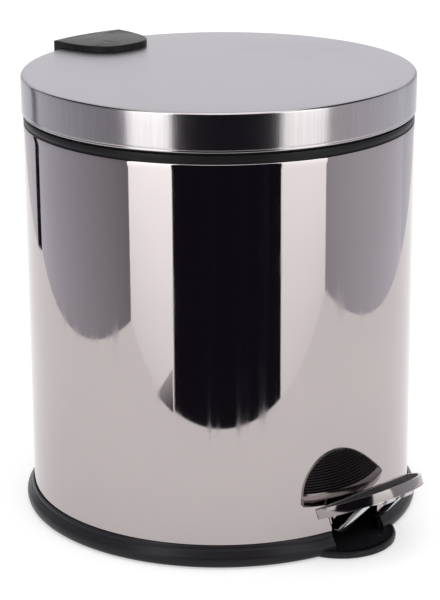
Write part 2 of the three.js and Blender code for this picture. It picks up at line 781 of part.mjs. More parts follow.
// Clips that hold the wire against the underside of the pan, and their rivets.
function pedalClips() {
  return [-1, 1].flatMap((side) => {
    const low = side * clipPlace - clipHalf;
    const high = side * clipPlace + clipHalf;
    const outer = wireRadius + gap + clipThickness;
    const face = panUnder - gap;
    const loop = bar(outer, [low, -crossMeets, wireDrop], [high, -crossMeets, wireDrop], 28);
    const open = bar(
      wireRadius + gap,
      [low - 1, -crossMeets, wireDrop],
      [high + 1, -crossMeets, wireDrop],
    );
    const tabRear = -clipRivetAt + clipTab / 2;
    const tab = box([low, -crossMeets + wireRadius + gap, face - clipThickness], [high, tabRear, face]);
    const above = box([low - 5, -pedalDepth, face], [high + 5, 0, 5]);
    const rivetX = side * clipPlace;
    const hole = bar(screwRadius + boltGap, [rivetX, -clipRivetAt, -20], [rivetX, -clipRivetAt, 5]);
    const clip = cut(join(loop, tab), above, open, hole);
    const headTop = face - clipThickness - gap;
    const rivet = join(
      bar(screwHead - 0.4, [rivetX, -clipRivetAt, headTop - 1.2], [rivetX, -clipRivetAt, headTop]),
      bar(screwRadius, [rivetX, -clipRivetAt, headTop - 1], [rivetX, -clipRivetAt, -padRecess - gap]),
    );
    const name = side < 0 ? "left" : "right";
    return [piece(`pedal_clip_${name}`, clip, zinc), piece(`pedal_rivet_${name}`, rivet, zinc)];
  });
}

// A point under the pedal, given forward of its rear edge and below its plane, in the bin's frame.
function underPedal(x, forward, drop) {
  return [
    x,
    pedalY - forward * Math.cos(pedalTilt) + drop * Math.sin(pedalTilt),
    pedalHeight + forward * Math.sin(pedalTilt) + drop * Math.cos(pedalTilt),
  ];
}

// One wire bent to a long loop: across under the pedal, down and in through the slot, along the
// floor on both sides, and across again under the push rod. A sleeve on it turns on the axle.
function pedalLever() {
  const knee = -bodyRadius - kneeOut;
  const halves = [-1, 1].map((side) => {
    const leg = side * legHalf;
    const over = -side * 0.3;
    const route = [
      [over, rodY, legHeight],
      [leg, rodY, legHeight],
      [leg, knee, legHeight],
      underPedal(leg, legMeets, wireDrop),
      underPedal(leg, crossMeets, wireDrop),
      underPedal(over, crossMeets, wireDrop),
    ];
    return wire(bentRoute(route, leverBend), wireRadius);
  });
  const sleeve = bar(sleeveRadius, [-sleeveHalf, pivotY, legHeight], [sleeveHalf, pivotY, legHeight], 28);
  const bore = bar(axleRadius + boltGap, [-40, pivotY, legHeight], [40, pivotY, legHeight]);
  return piece("pedal_lever", cut(join(...halves, sleeve), bore), zinc);
}

function leverAxle() {
  const face = sleeveHalf + gap + postWidth + gap;
  const far = face + axleClip;
  const end = far + axleEnd;
  const axle = bar(axleRadius, [-end, pivotY, legHeight], [end, pivotY, legHeight]);
  const clips = [-1, 1].map((side) => {
    const ring = cut(
      bar(axleRadius + axleClipOut, [side * face, pivotY, legHeight], [side * far, pivotY, legHeight]),
      bar(
        axleRadius + boltGap,
        [side * (face - 1), pivotY, legHeight],
        [side * (far + 1), pivotY, legHeight],
      ),
    );
    return piece(side < 0 ? "axle_clip_left" : "axle_clip_right", ring, zinc);
  });
  return [piece("lever_axle", axle, zinc), ...clips];
}

function pushRod() {
  const overWire = legHeight + wireRadius + gap;
  const rodLow = overWire + shoeFloor;
  const shoeTop = legHeight + shoeRise;
  const shank = bar(rodRadius, [rodX, rodY, rodLow], [rodX, rodY, hookZ - hookStraight + 1]);
  const hookRoute = [
    [rodX, rodY, hookZ - hookStraight],
    [rodX, rodY, hookZ],
    [earNear - gap - 0.8, rodY, hookZ],
  ];
  const hook = wire(bentRoute(hookRoute, 2), hookRadius);
  const saddle = wireRadius + shoeSide;
  const shoe = cut(
    box(
      [rodX - shoeHalf, rodY - shoeDepth, legHeight - shoeDrop],
      [rodX + shoeHalf, rodY + shoeDepth, shoeTop],
    ),
    box([rodX - 10, rodY - saddle, 0], [rodX + 10, rodY + saddle, overWire]),
    bar(rodRadius + gap, [rodX, rodY, rodLow - gap], [rodX, rodY, shoeTop + 5]),
  );
  return [piece("push_rod", join(shank, hook), zinc), piece("rod_shoe", shoe, plastic)];
}

// Guides on the shell's inside that keep the rod upright.
function rodGuides() {
  const names = ["lower", "upper"];
  return guideDrops.map((drop, i) => {
    const low = bodyTop - drop;
    const high = low + guideHeight;
    const block = box(
      [rodX - guideHalf, rodY - guideHalf, low],
      [rodX + guideHalf, bodyRadius, high],
    ).intersect(disc(shellInside - gap, low - 1, high + 1));
    const bore = bar(rodRadius + guideBore, [rodX, rodY, low - 5], [rodX, rodY, high + 5]);
    return piece(`rod_guide_${names[i]}`, cut(block, bore), plastic);
  });
}

function innerBucket() {
  const wallTop = seatRadius - wallIn;
  const wallLow = wallTop - bucketTaper;
  const rim = seatRadius + seatWidth - rimIn;
  const inside = bucketFloor + bucketFloorThickness;
  const made = turned([
    [0, bucketFloor],
    [wallLow - bucketCorner, bucketFloor],
    [wallLow, bucketFloor + bucketCorner],
    [wallTop, seatZ - deckThickness],
    [wallTop, seatZ + gap],
    [rim, seatZ + gap],
    [rim, rimTop - softEdge],
    [rim - softEdge, rimTop],
    [wallTop - bucketWall, rimTop],
    [wallTop - bucketWall, seatZ - deckThickness],
    [wallLow - bucketWall, inside + 2],
    [wallLow - bucketWall - 2, inside],
    [0, inside],
  ]);
  const outer = wallTop - lugIn;
  const lugs = [-1, 1].map((side) => {
    const faces = [side * (outer - lugThickness), side * outer].sort((a, b) => a - b);
    return join(
      box([faces[0], -lugHalf, seatZ - lugDepth], [faces[1], lugHalf, bailZ]),
      bar(lugHalf, [faces[0], 0, bailZ], [faces[1], 0, bailZ], 24),
    );
  });
  const bore = bar(bailWire + boltGap, [-wallTop, 0, bailZ], [wallTop, 0, bailZ]);
  return piece("inner_bucket", cut(join(made, ...lugs), bore), plastic);
}

// The bail lies forward on the rim; each end turns in and through a lug.
function bail() {
  const turn = bailBend / bailRadius;
  const inner = seatRadius - wallIn - lugIn - lugThickness - bailPast;
  const corner = (side) => {
    const start = new THREE.Vector3(side * (bailRadius - bailBend), 0, bailZ);
    const middle = new THREE.Vector3(side * bailRadius, 0, bailZ);
    const end = arcPoints(bailRadius, bailZ, -turn, -turn, 1)[0].multiply(new THREE.Vector3(side, 1, 1));
    return new THREE.QuadraticBezierCurve3(start, middle, end).getPoints(bendSteps);
  };
  const route = new Route([
    new THREE.Vector3(-inner, 0, bailZ),
    ...corner(-1),
    ...arcPoints(bailRadius, bailZ, Math.PI + turn, 2 * Math.PI - turn, 32).slice(1, -1),
    ...corner(1).reverse(),
    new THREE.Vector3(inner, 0, bailZ),
  ]);
  const middle = 1.5 * Math.PI;
  const gripRoute = new Route(arcPoints(bailRadius, bailZ, middle - gripAngle, middle + gripAngle, 8));
  return [
    piece("bail_handle", wire(route, bailWire), zinc),
    piece("bail_grip", wire(gripRoute, gripRadius, bailWire + gap), plastic),
  ];
}

const bin = new THREE.Group();
bin.name = "pedal_bin";

const body = new THREE.Group();
body.add(bodyShell(), baseTray(), ...feet(), ...baseScrews(), topCollar(), cushionRing());
body.add(hingeBracket(), ...hingeScrews(), ...hingePin(), ...leverAxle(), ...rodGuides());

const lid = new THREE.Group();
lid.add(lidShell(), hingeCover(), lidHingeArm(), ...lidRivets());

const pedal = new THREE.Group();
pedal.add(pedalPlate(), pedalPad(), ...pedalClips());
pedal.rotation.x = -pedalTilt;
pedal.position.set(0, pedalY, pedalHeight);

const bucket = new THREE.Group();
bucket.add(innerBucket(), ...bail());

bin.add(body, lid, pedal, pedalLever(), ...pushRod(), bucket);

export default bin;
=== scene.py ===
# Round steel pedal bin, looks and finish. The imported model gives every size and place; the pieces
# below are built round it, in metres, +Z up, pedal at -Y and hinge at +Y.
from math import asin, atan2, copysign, cos, degrees, pi, radians, sin, sqrt, tan

import bpy
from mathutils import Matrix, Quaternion, Vector


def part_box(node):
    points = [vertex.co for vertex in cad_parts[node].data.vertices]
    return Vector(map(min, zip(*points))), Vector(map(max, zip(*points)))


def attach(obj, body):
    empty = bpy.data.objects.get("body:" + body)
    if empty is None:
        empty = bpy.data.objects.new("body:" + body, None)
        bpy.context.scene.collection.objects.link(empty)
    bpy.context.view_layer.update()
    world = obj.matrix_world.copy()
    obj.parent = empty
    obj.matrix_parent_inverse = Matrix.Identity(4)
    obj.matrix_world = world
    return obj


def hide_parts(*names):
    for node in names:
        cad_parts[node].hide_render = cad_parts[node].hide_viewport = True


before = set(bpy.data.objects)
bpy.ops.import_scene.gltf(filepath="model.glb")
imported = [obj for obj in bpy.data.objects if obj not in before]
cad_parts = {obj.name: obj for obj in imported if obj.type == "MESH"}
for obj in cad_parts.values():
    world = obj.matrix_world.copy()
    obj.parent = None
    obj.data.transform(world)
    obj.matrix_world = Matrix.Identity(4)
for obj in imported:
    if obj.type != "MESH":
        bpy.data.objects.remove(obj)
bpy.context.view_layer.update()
mm = 0.001
gap = 0.3 * mm  # clearance between pieces
pole = 2e-6  # a ring this small is merged to one point
ringMerge = 1e-5
wireMerge = 1e-6
cutMerge = 2e-6


# working helpers

def dropPick():
    if bpy.context.mode != "OBJECT":
        bpy.ops.object.mode_set(mode="OBJECT")
    bpy.ops.object.select_all(action="DESELECT")


# the object just added takes its name
def named(name):
    piece = bpy.context.object
    piece.name = piece.data.name = name
    return piece


def pickPiece(piece):
    dropPick()
    piece.select_set(True)
    bpy.context.view_layer.objects.active = piece


# opens edit mode with only what passes the test selected, or with everything
def openEdit(piece, kind="FACE", test=None):
    pickPiece(piece)
    bpy.ops.object.mode_set(mode="EDIT")
    bpy.ops.mesh.select_mode(type=kind)
    bpy.ops.mesh.select_all(action="DESELECT" if test else "SELECT")
    if not test:
        return
    bpy.ops.object.mode_set(mode="OBJECT")
    mesh = piece.data
    if kind == "VERT":
        for vertex in mesh.vertices:
            vertex.select = test(vertex.co)
    elif kind == "EDGE":
        for edge in mesh.edges:
            edge.select = test(*[mesh.vertices[i].co for i in edge.vertices])
    else:
        for face in mesh.polygons:
            face.select = test(face.center, face.normal)
    bpy.ops.object.mode_set(mode="EDIT")


def closeEdit():
    bpy.ops.object.mode_set(mode="OBJECT")


# joins points that meet, fills open ends if asked, turns every face outwards and leaves edit mode
def closeMesh(merge=None, fill=False):
    bpy.ops.mesh.select_all(action="SELECT")
    if merge:
        bpy.ops.mesh.remove_doubles(threshold=merge)
    if fill:
        bpy.ops.mesh.fill_holes(sides=0)
    bpy.ops.mesh.normals_make_consistent(inside=False)
    closeEdit()


# draws what is picked out by an offset
def drawOut(*offset):
    bpy.ops.mesh.extrude_region_move(TRANSFORM_OT_translate={"value": offset})


def applyModifier(piece, kind, **values):
    pickPiece(piece)
    modifier = piece.modifiers.new(kind.lower(), kind)
    for key, value in values.items():
        setattr(modifier, key, value)
    bpy.ops.object.modifier_apply(modifier=modifier.name)


def settle(piece):
    pickPiece(piece)
    bpy.ops.object.transform_apply(location=True, rotation=True, scale=True)


def combine(piece, tools, operation):
    for tool in tools:
        settle(tool)
        applyModifier(piece, "BOOLEAN", operation=operation, object=tool, solver="EXACT")
        bpy.data.objects.remove(tool)
    return piece


def cutAway(piece, *tools):
    return combine(piece, tools, "DIFFERENCE")


def weldOn(piece, *tools):
    return combine(piece, tools, "UNION")


def roundEdges(piece, width, segments=3, angle=32):
    applyModifier(
        piece, "BEVEL", width=width, segments=segments,
        limit_method="ANGLE", angle_limit=radians(angle), use_clamp_overlap=True,
    )


# an open circle in edit mode with all its edges picked, ready to be drawn or spun
def startLoop(name, steps, radius, place, rotation=(0, 0, 0)):
    dropPick()
    bpy.ops.mesh.primitive_circle_add(
        vertices=steps, radius=radius, fill_type="NOTHING", location=place, rotation=rotation
    )
    piece = named(name)
    settle(piece)
    bpy.ops.object.mode_set(mode="EDIT")
    bpy.ops.mesh.select_mode(type="EDGE")
    bpy.ops.mesh.select_all(action="SELECT")
    return piece


# a circle drawn out ring by ring; each ring is a radius and a height
def turnRings(name, rings, steps=192, centre=(0, 0), loop=False):
    radius, height = rings[0]
    piece = startLoop(name, steps, max(radius, pole), (*centre, height))
    for nextRadius, nextHeight in rings[1:] + ([rings[0]] if loop else []):
        drawOut(0, 0, nextHeight - height)
        scale = max(nextRadius, pole) / max(radius, pole)
        bpy.ops.transform.resize(value=(scale, scale, 1), center_override=(*centre, nextHeight))
        radius, height = nextRadius, nextHeight
    closeMesh(ringMerge)
    return piece


# rings along a quarter or other stretch of a round edge
def arcRings(radius, height, reach, start, end, count, rise=None):
    rise = reach if rise is None else rise
    rings = []
    for i in range(count + 1):
        angle = radians(start + (end - start) * i / count)
        rings.append((radius + reach * cos(angle), height + rise * sin(angle)))
    return rings


# profile points in mm, measured in from a radius and up from a height
def profile(radius, height, *points):
    return [(radius - inward * mm, height + up * mm) for inward, up in points]


def middleOf(node):
    low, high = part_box(node)
    return (low + high) / 2


def rodBetween(name, start, end, radius, steps=32):
    dropPick()
    start, end = Vector(start), Vector(end)
    along = end - start
    bpy.ops.mesh.primitive_cylinder_add(
        vertices=steps, radius=radius, depth=along.length, location=(start + end) / 2,
        rotation=along.to_track_quat("Z", "Y").to_euler(),
    )
    piece = named(name)
    settle(piece)
    return piece


# a round bar lying straight across the bin
def barAcross(name, near, far, middle, radius, steps=32):
    return rodBetween(name, (near, middle.y, middle.z), (far, middle.y, middle.z), radius, steps)


def block(name, low, high):
    dropPick()
    low, high = Vector(low), Vector(high)
    bpy.ops.mesh.primitive_cube_add(size=1, location=(low + high) / 2, scale=high - low)
    piece = named(name)
    settle(piece)
    return piece


# an outline of x, y pairs filled and drawn up from low to high
def raisedOutline(name, outline, low, high):
    dropPick()
    bpy.ops.mesh.primitive_circle_add(
        vertices=len(outline), radius=1, fill_type="NGON", location=(0, 0, 0)
    )
    piece = named(name)
    for vertex, (x, y) in zip(piece.data.vertices, outline):
        vertex.co = (x, y, low)
    openEdit(piece, "FACE")
    drawOut(0, 0, high - low)
    closeMesh()
    return piece


# a round wire taken along its corners: straight runs are extruded, bends are spun
def bendWire(name, corners, bend, radius, facets=20, steps=7, closeEnds=True):
    corners = [Vector(corner) for corner in corners]
    heading = (corners[1] - corners[0]).normalized()
    piece = startLoop(name, facets, radius, corners[0], heading.to_track_quat("Z", "Y").to_euler())
    at = corners[0]
    for corner, after in zip(corners[1:-1], corners[2:]):
        onward = (after - corner).normalized()
        angle = heading.angle(onward)
        back = bend * tan(angle / 2)
        bendStart = corner - heading * back
        drawOut(*(bendStart - at))
        axis = heading.cross(onward).normalized()
        centre = bendStart + axis.cross(heading) * bend
        bpy.ops.mesh.spin(steps=steps, angle=-angle, center=centre, axis=axis)
        at = corner + onward * back
        heading = onward
    drawOut(*(corners[-1] - at))
    closeMesh(wireMerge, closeEnds)
    return piece


def finishPiece(piece, material, body, nodes=(), smooth=34):
    settle(piece)
    bpy.ops.object.shade_smooth_by_angle(angle=radians(smooth))
    piece.data.materials.clear()
    piece.data.materials.append(material)
    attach(piece, body)
    if nodes:
        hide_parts(*nodes)
    print("piece", piece.name, len(piece.data.polygons), "faces")
    return piece


def twin(piece, name):
    pickPiece(piece)
    bpy.ops.object.duplicate(linked=False)
    return named(name)


# shared effects for the finishes

number, colour = "NodeSocketFloat", "NodeSocketColor"


def newGroup(name, inputs, outputs):
    group = bpy.data.node_groups.new(name, "ShaderNodeTree")
    for label, kind, value in inputs:
        socket = group.interface.new_socket(label, in_out="INPUT", socket_type=kind)
        socket.default_value = value
    for label, kind in outputs:
        group.interface.new_socket(label, in_out="OUTPUT", socket_type=kind)
    start = group.nodes.new("NodeGroupInput")
    end = group.nodes.new("NodeGroupOutput")
    return group, start, end


def addNode(tree, kind, values=None, **settings):
    node = tree.nodes.new("ShaderNode" + kind)
    for key, value in settings.items():
        setattr(node, key, value)
    for key, value in (values or {}).items():
        node.inputs[key].default_value = value
    return node


# each join is a node, its output, the node it feeds and that node's input
def link(tree, *joins):
    for source, output, target, into in joins:
        tree.links.new(source.outputs[output], target.inputs[into])


# fine lines that run one way, such as rolling marks and brushing
def makeDrawnGrain():
    group, start, end = newGroup(
        "drawnGrain",
        [("Stretch", "NodeSocketVector", (1, 1, 1)), ("Scale", number, 900.0),
         ("Detail", number, 3.0)],
        [("Height", number), ("Patches", number)],
    )
    place = addNode(group, "TexCoord")
    squeeze = addNode(group, "VectorMath", operation="MULTIPLY")
    lines = addNode(group, "TexNoise", {"Roughness": 0.65})
    patches = addNode(group, "TexNoise", {"Scale": 14.0, "Detail": 3.0})
    link(
        group,
        (place, "Object", squeeze, 0), (start, "Stretch", squeeze, 1),
        (squeeze, 0, lines, "Vector"), (start, "Scale", lines, "Scale"),
        (start, "Detail", lines, "Detail"), (place, "Object", patches, "Vector"),
        (lines, "Fac", end, "Height"), (patches, "Fac", end, "Patches"),
    )
    return group


# upright hairlines round the bin's axis, for a brushed skirt
def makeUprightGrain():
    group, start, end = newGroup(
        "uprightGrain",
        [("Scale", number, 2200.0)],
        [("Height", number)],
    )
    place = addNode(group, "TexCoord")
    split = addNode(group, "SeparateXYZ")
    turn = addNode(group, "Math", operation="ARCTAN2")
    around = addNode(group, "Math", {1: 0.125}, operation="MULTIPLY")
    slow = addNode(group, "Math", {1: 0.03}, operation="MULTIPLY")
    gather = addNode(group, "CombineXYZ")
    lines = addNode(group, "TexNoise", {"Detail": 2.0, "Roughness": 0.6})
    link(
        group,
        (place, "Object", split, 0), (split, "Y", turn, 0), (split, "X", turn, 1),
        (turn, 0, around, 0), (split, "Z", slow, 0), (around, 0, gather, "X"),
        (slow, 0, gather, "Z"), (gather, 0, lines, "Vector"), (start, "Scale", lines, "Scale"),
        (lines, "Fac", end, "Height"),
    )
    return group


# faint wiped marks and fingerprints, as a change of roughness
def makeHandMarks():
    group, start, end = newGroup(
        "handMarks",
        [("Scale", number, 22.0), ("Clean", number, 0.04),
         ("Touched", number, 0.09)],
        [("Roughness", number), ("Mask", number)],
    )
    place = addNode(group, "TexCoord")
    cloud = addNode(group, "TexNoise", {"Detail": 5.0, "Distortion": 0.8})
    ramp = addNode(group, "MapRange", {"From Min": 0.5, "From Max": 0.78})
    blend = addNode(group, "Mix", data_type="FLOAT")
    link(
        group,
        (place, "Object", cloud, "Vector"), (start, "Scale", cloud, "Scale"),
        (cloud, "Fac", ramp, "Value"), (ramp, "Result", blend, "Factor"),
        (start, "Clean", blend, "A"), (start, "Touched", blend, "B"),
        (blend, "Result", end, "Roughness"), (ramp, "Result", end, "Mask"),
    )
    return group


# two colours mixed by what the surface gives, edges or what faces up, broken up by a fine noise
def makeMasked(name, under, over, amount, upward, reach, noise, spread):
    group, start, end = newGroup(
        name,
        [(under[0], colour, under[1]), (over[0], colour, over[1]), ("Amount", number, amount)],
        [("Color", colour), ("Mask", number)],
    )
    surface = addNode(group, "NewGeometry")
    first = addNode(group, "MapRange", {"From Min": reach[0], "From Max": reach[1]})
    place = addNode(group, "TexCoord")
    specks = addNode(group, "TexNoise", noise)
    second = addNode(group, "MapRange", {"From Min": spread[0], "From Max": spread[1]})
    both, share = [addNode(group, "Math", operation="MULTIPLY") for i in range(2)]
    mix = addNode(group, "Mix", data_type="RGBA")
    if upward:
        split = addNode(group, "SeparateXYZ")
        link(group, (surface, "Normal", split, 0), (split, "Z", first, "Value"))
    else:
        link(group, (surface, "Pointiness", first, "Value"))
    link(
        group,
        (place, "Object", specks, "Vector"), (specks, "Fac", second, "Value"),
        (first, "Result", both, 0), (second, "Result", both, 1),
        (both, 0, share, 0), (start, "Amount", share, 1),
        (share, 0, mix, "Factor"), (start, under[0], mix, "A"), (start, over[0], mix, "B"),
        (mix, "Result", end, "Color"), (share, 0, end, "Mask"),
    )
    return group


drawnGrain = makeDrawnGrain()
uprightGrain = makeUprightGrain()
handMarks = makeHandMarks()
edgeWear = makeMasked(
    "edgeWear", ("Base", (0.02, 0.02, 0.02, 1)), ("Worn", (0.06, 0.06, 0.06, 1)), 0.5,
    False, (0.52, 0.6), {"Scale": 260.0, "Detail": 4.0}, (0.42, 0.62),
)
settledDust = makeMasked(
    "settledDust", ("Color", (0.02, 0.02, 0.02, 1)), ("Dust", (0.3, 0.29, 0.28, 1)), 0.1,
    True, (0.55, 1.0), {"Scale": 700.0, "Detail": 3.0}, (0.46, 0.7),
)


def useGroup(tree, group, **values):
    return addNode(tree, "Group", values, node_tree=group)


def newFinish(name, **sockets):
    material = bpy.data.materials.new(name)
    material.use_nodes = True
    shader = material.node_tree.nodes["Principled BSDF"]
    for key, value in sockets.items():
        shader.inputs[key].default_value = value
    return material, material.node_tree, shader


def addBump(tree, shader, grain, strength, distance):
    bump = addNode(tree, "Bump", {"Strength": strength, "Distance": distance})
    link(tree, (grain, "Height", bump, "Height"), (bump, "Normal", shader, "Normal"))


# metal finishes

finishBump = 0.1 * mm
mouldingBump = 0.2 * mm


def makeSteel(name, **look):
    material, tree, shader = newFinish(name, Metallic=1.0)
    grain = useGroup(tree, look["lines"], **look["grain"])
    marks = useGroup(tree, handMarks, **look["marks"])
    tint = addNode(tree, "Mix", data_type="RGBA")
    tint.inputs["A"].default_value = look["deep"]
    tint.inputs["B"].default_value = look["light"]
    link(tree, (grain, look["tintBy"], tint, "Factor"), (tint, "Result", shader, "Base Color"))
    addBump(tree, shader, grain, look["bump"], finishBump)
    if "streak" not in look:
        link(tree, (marks, "Roughness", shader, "Roughness"))
        return material
    # upright streaks where the sheet was drawn, a little duller than the rest
    streaks = useGroup(tree, drawnGrain, **look["streakGrain"])
    streaky = addNode(tree, "MapRange", {"From Min": 0.5, "From Max": 0.75, "To Max": look["streak"]})
    rough = addNode(tree, "Math", operation="ADD")
    link(
        tree,
        (streaks, "Height", streaky, "Value"), (marks, "Roughness", rough, 0),
        (streaky, "Result", rough, 1), (rough, 0, shader, "Roughness"),
    )
    return material


def makePlatedSteel(name, **look):
    material, tree, shader = newFinish(name, Metallic=1.0)
    worn = useGroup(tree, edgeWear, Base=look["base"], Worn=look["worn"], Amount=0.6)
    marks = useGroup(tree, handMarks, Scale=60.0, Clean=look["clean"], Touched=look["touched"])
    grain = useGroup(tree, drawnGrain, Scale=look["scale"])
    link(
        tree,
        (worn, "Color", shader, "Base Color"), (marks, "Roughness", shader, "Roughness"),
    )
    addBump(tree, shader, grain, look["bump"], finishBump)
    return material


# plastic and rubber finishes

def makeMoulding(name, **look):
    material, tree, shader = newFinish(name, **{"Specular IOR Level": look["shine"]})
    worn = useGroup(tree, edgeWear, Base=look["base"], Worn=look["worn"], Amount=look["wear"])
    dust = useGroup(tree, settledDust, Amount=look["dust"])
    marks = useGroup(
        tree, handMarks, Scale=look["markScale"], Clean=look["clean"], Touched=look["touched"]
    )
    grain = useGroup(tree, drawnGrain, Scale=look["scale"], Detail=2.0)
    link(
        tree,
        (worn, "Color", dust, "Color"), (dust, "Color", shader, "Base Color"),
        (marks, "Roughness", shader, "Roughness"),
    )
    addBump(tree, shader, grain, look["bump"], mouldingBump)
    return material


polishedSteel = makeSteel("polishedSteel",
    lines=drawnGrain, grain={"Stretch": (1, 1, 0.02), "Scale": 1400.0}, tintBy="Patches",
    marks={"Clean": 0.03, "Touched": 0.06}, bump=0.018,
    deep=(0.408, 0.368, 0.372, 1), light=(0.458, 0.412, 0.41, 1),
    streakGrain={"Stretch": (1, 1, 0.012), "Scale": 150.0, "Detail": 4.0}, streak=0.09,
)
# painted shade: the lid top's steel colour is set darker than the skirt's to offset the key light's
# highlight on the top; the satin grain and marks are the real finish
satinSteel = makeSteel("satinSteel",
    lines=drawnGrain, grain={"Stretch": (1, 0.02, 1), "Scale": 1900.0, "Detail": 4.0},
    tintBy="Height", marks={"Scale": 9.0, "Clean": 0.33, "Touched": 0.38}, bump=0.05,
    deep=(0.35, 0.338, 0.375, 1), light=(0.415, 0.40, 0.435, 1),
)
skirtSteel = makeSteel("skirtSteel",
    lines=uprightGrain, grain={"Scale": 900.0}, tintBy="Height",
    marks={"Scale": 16.0, "Clean": 0.17, "Touched": 0.24}, bump=0.12,
    deep=(0.40, 0.375, 0.38, 1), light=(0.50, 0.47, 0.472, 1),
)
zincPlate = makePlatedSteel("zincPlate",
    base=(0.55, 0.55, 0.57, 1), worn=(0.35, 0.34, 0.34, 1),
    clean=0.22, touched=0.4, scale=500.0, bump=0.12,
)
brightWire = makePlatedSteel("brightWire",
    base=(0.66, 0.67, 0.68, 1), worn=(0.45, 0.44, 0.43, 1),
    clean=0.09, touched=0.2, scale=900.0, bump=0.04,
)
pedalSteel = makePlatedSteel("pedalSteel",
    base=(0.29, 0.265, 0.26, 1), worn=(0.22, 0.205, 0.2, 1),
    clean=0.11, touched=0.24, scale=1100.0, bump=0.08,
)
baseBlack = makeMoulding("baseBlack",
    base=(0.012, 0.0105, 0.0135, 1), worn=(0.03, 0.028, 0.03, 1), wear=0.5, shine=0.17,
    dust=0.02, markScale=30.0, clean=0.3, touched=0.42, scale=2600.0, bump=0.08,
)
# painted shade: the collar's black is a darker, duller copy of the base's black, standing in for the shade
# under the lid's hem
collarBlack = makeMoulding("collarBlack",
    base=(0.009, 0.008, 0.009, 1), worn=(0.025, 0.024, 0.025, 1), wear=0.4, shine=0.13,
    dust=0.01, markScale=30.0, clean=0.34, touched=0.45, scale=2600.0, bump=0.08,
)
capBlack = makeMoulding("capBlack",
    base=(0.011, 0.0105, 0.012, 1), worn=(0.035, 0.034, 0.036, 1), wear=0.7, shine=0.13,
    dust=0.05, markScale=70.0, clean=0.34, touched=0.55, scale=1500.0, bump=0.3,
)
bucketBlack = makeMoulding("bucketBlack",
    base=(0.016, 0.016, 0.018, 1), worn=(0.05, 0.05, 0.05, 1), wear=0.5, shine=0.4,
    dust=0.05, markScale=18.0, clean=0.4, touched=0.55, scale=1800.0, bump=0.25,
)
rubberBlack = makeMoulding("rubberBlack",
    base=(0.008, 0.008, 0.009, 1), worn=(0.03, 0.03, 0.03, 1), wear=0.6, shine=0.25,
    dust=0.04, markScale=40.0, clean=0.5, touched=0.7, scale=2200.0, bump=0.25,
)
print("finishes ready")


# steel shell

shell = dict(
    wall=0.8 * mm, steps=256, roll=0.5 * mm, rollDrop=4 * mm,
    rows=(30 * mm, 60 * mm, 120 * mm, 190 * mm),
    slotHalf=21 * mm, slotTop=24.5 * mm, slotCorner=6 * mm,
    slotFrom=-80 * mm, slotTo=-140 * mm,
    seamRise=0.14 * mm, seamHalf=0.5 * mm, seamFrom=20 * mm,
)


def gateCutter():
    half, top, corner = shell["slotHalf"], shell["slotTop"], shell["slotCorner"]
    outline = [(-half, -1 * mm), (half, -1 * mm)]
    for side, start in ((1, 0), (-1, 90)):
        for i in range(9):
            angle = radians(start + 90 * i / 8)
            outline.append((side * (half - corner) + corner * cos(angle),
                            top - corner + corner * sin(angle)))
    cutter = raisedOutline("leverGate", outline, 0, shell["slotFrom"] - shell["slotTo"])
    cutter.rotation_euler = (radians(90), 0, 0)
    cutter.location = (0, shell["slotFrom"], 0)
    settle(cutter)
    return cutter


def makeBodyShell():
    low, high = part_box("body_shell")
    radius, inside = high.x, high.x - shell["wall"]
    roll, rows = shell["roll"], shell["rows"]
    shoulder = high.z - shell["rollDrop"]
    rings = [(inside, low.z), (radius, low.z)] + [(radius, row) for row in rows] + [(radius, shoulder)]
    rings += arcRings(radius - roll, shoulder, roll, 10, 90, 6, shell["rollDrop"])
    rings += [(inside - roll * 0.8, high.z), (inside - roll * 0.4, high.z - 2 * mm), (inside, shoulder)]
    rings += [(inside, row) for row in reversed(rows)]
    piece = turnRings("bodyShell", rings, shell["steps"], loop=True)
    cutAway(piece, gateCutter())
    # the welded seam down the rear
    openEdit(piece, "VERT", lambda co: co.y > radius - 0.05 * mm
             and abs(co.x) < shell["seamHalf"] and co.z > shell["seamFrom"])
    bpy.ops.transform.translate(value=(0, shell["seamRise"], 0))
    closeEdit()
    return finishPiece(piece, polishedSteel, "root", ["body_shell"])


# black base with its toe plate

base = dict(
    steps=192, lip=14.5 * mm, floor=2.7 * mm, under=0.5 * mm,
    bulge=3 * mm, bulgeMiddle=4.6 * mm, bulgeRise=4.4 * mm,
    toeRadius=36 * mm, toeTop=4.8 * mm, toeRim=2.4 * mm, toeDish=1.6 * mm,
    footRadius=7.3 * mm, bossRadius=15 * mm,
    postIn=22.3 * mm, postWidth=5 * mm, postHalf=6 * mm, postBore=2.8 * mm,
    tread=((0, 0.4), (0.35, 0.4), (0.42, 0), (0.62, 0), (0.66, 0.4), (0.74, 0.4), (0.79, 0)),
)


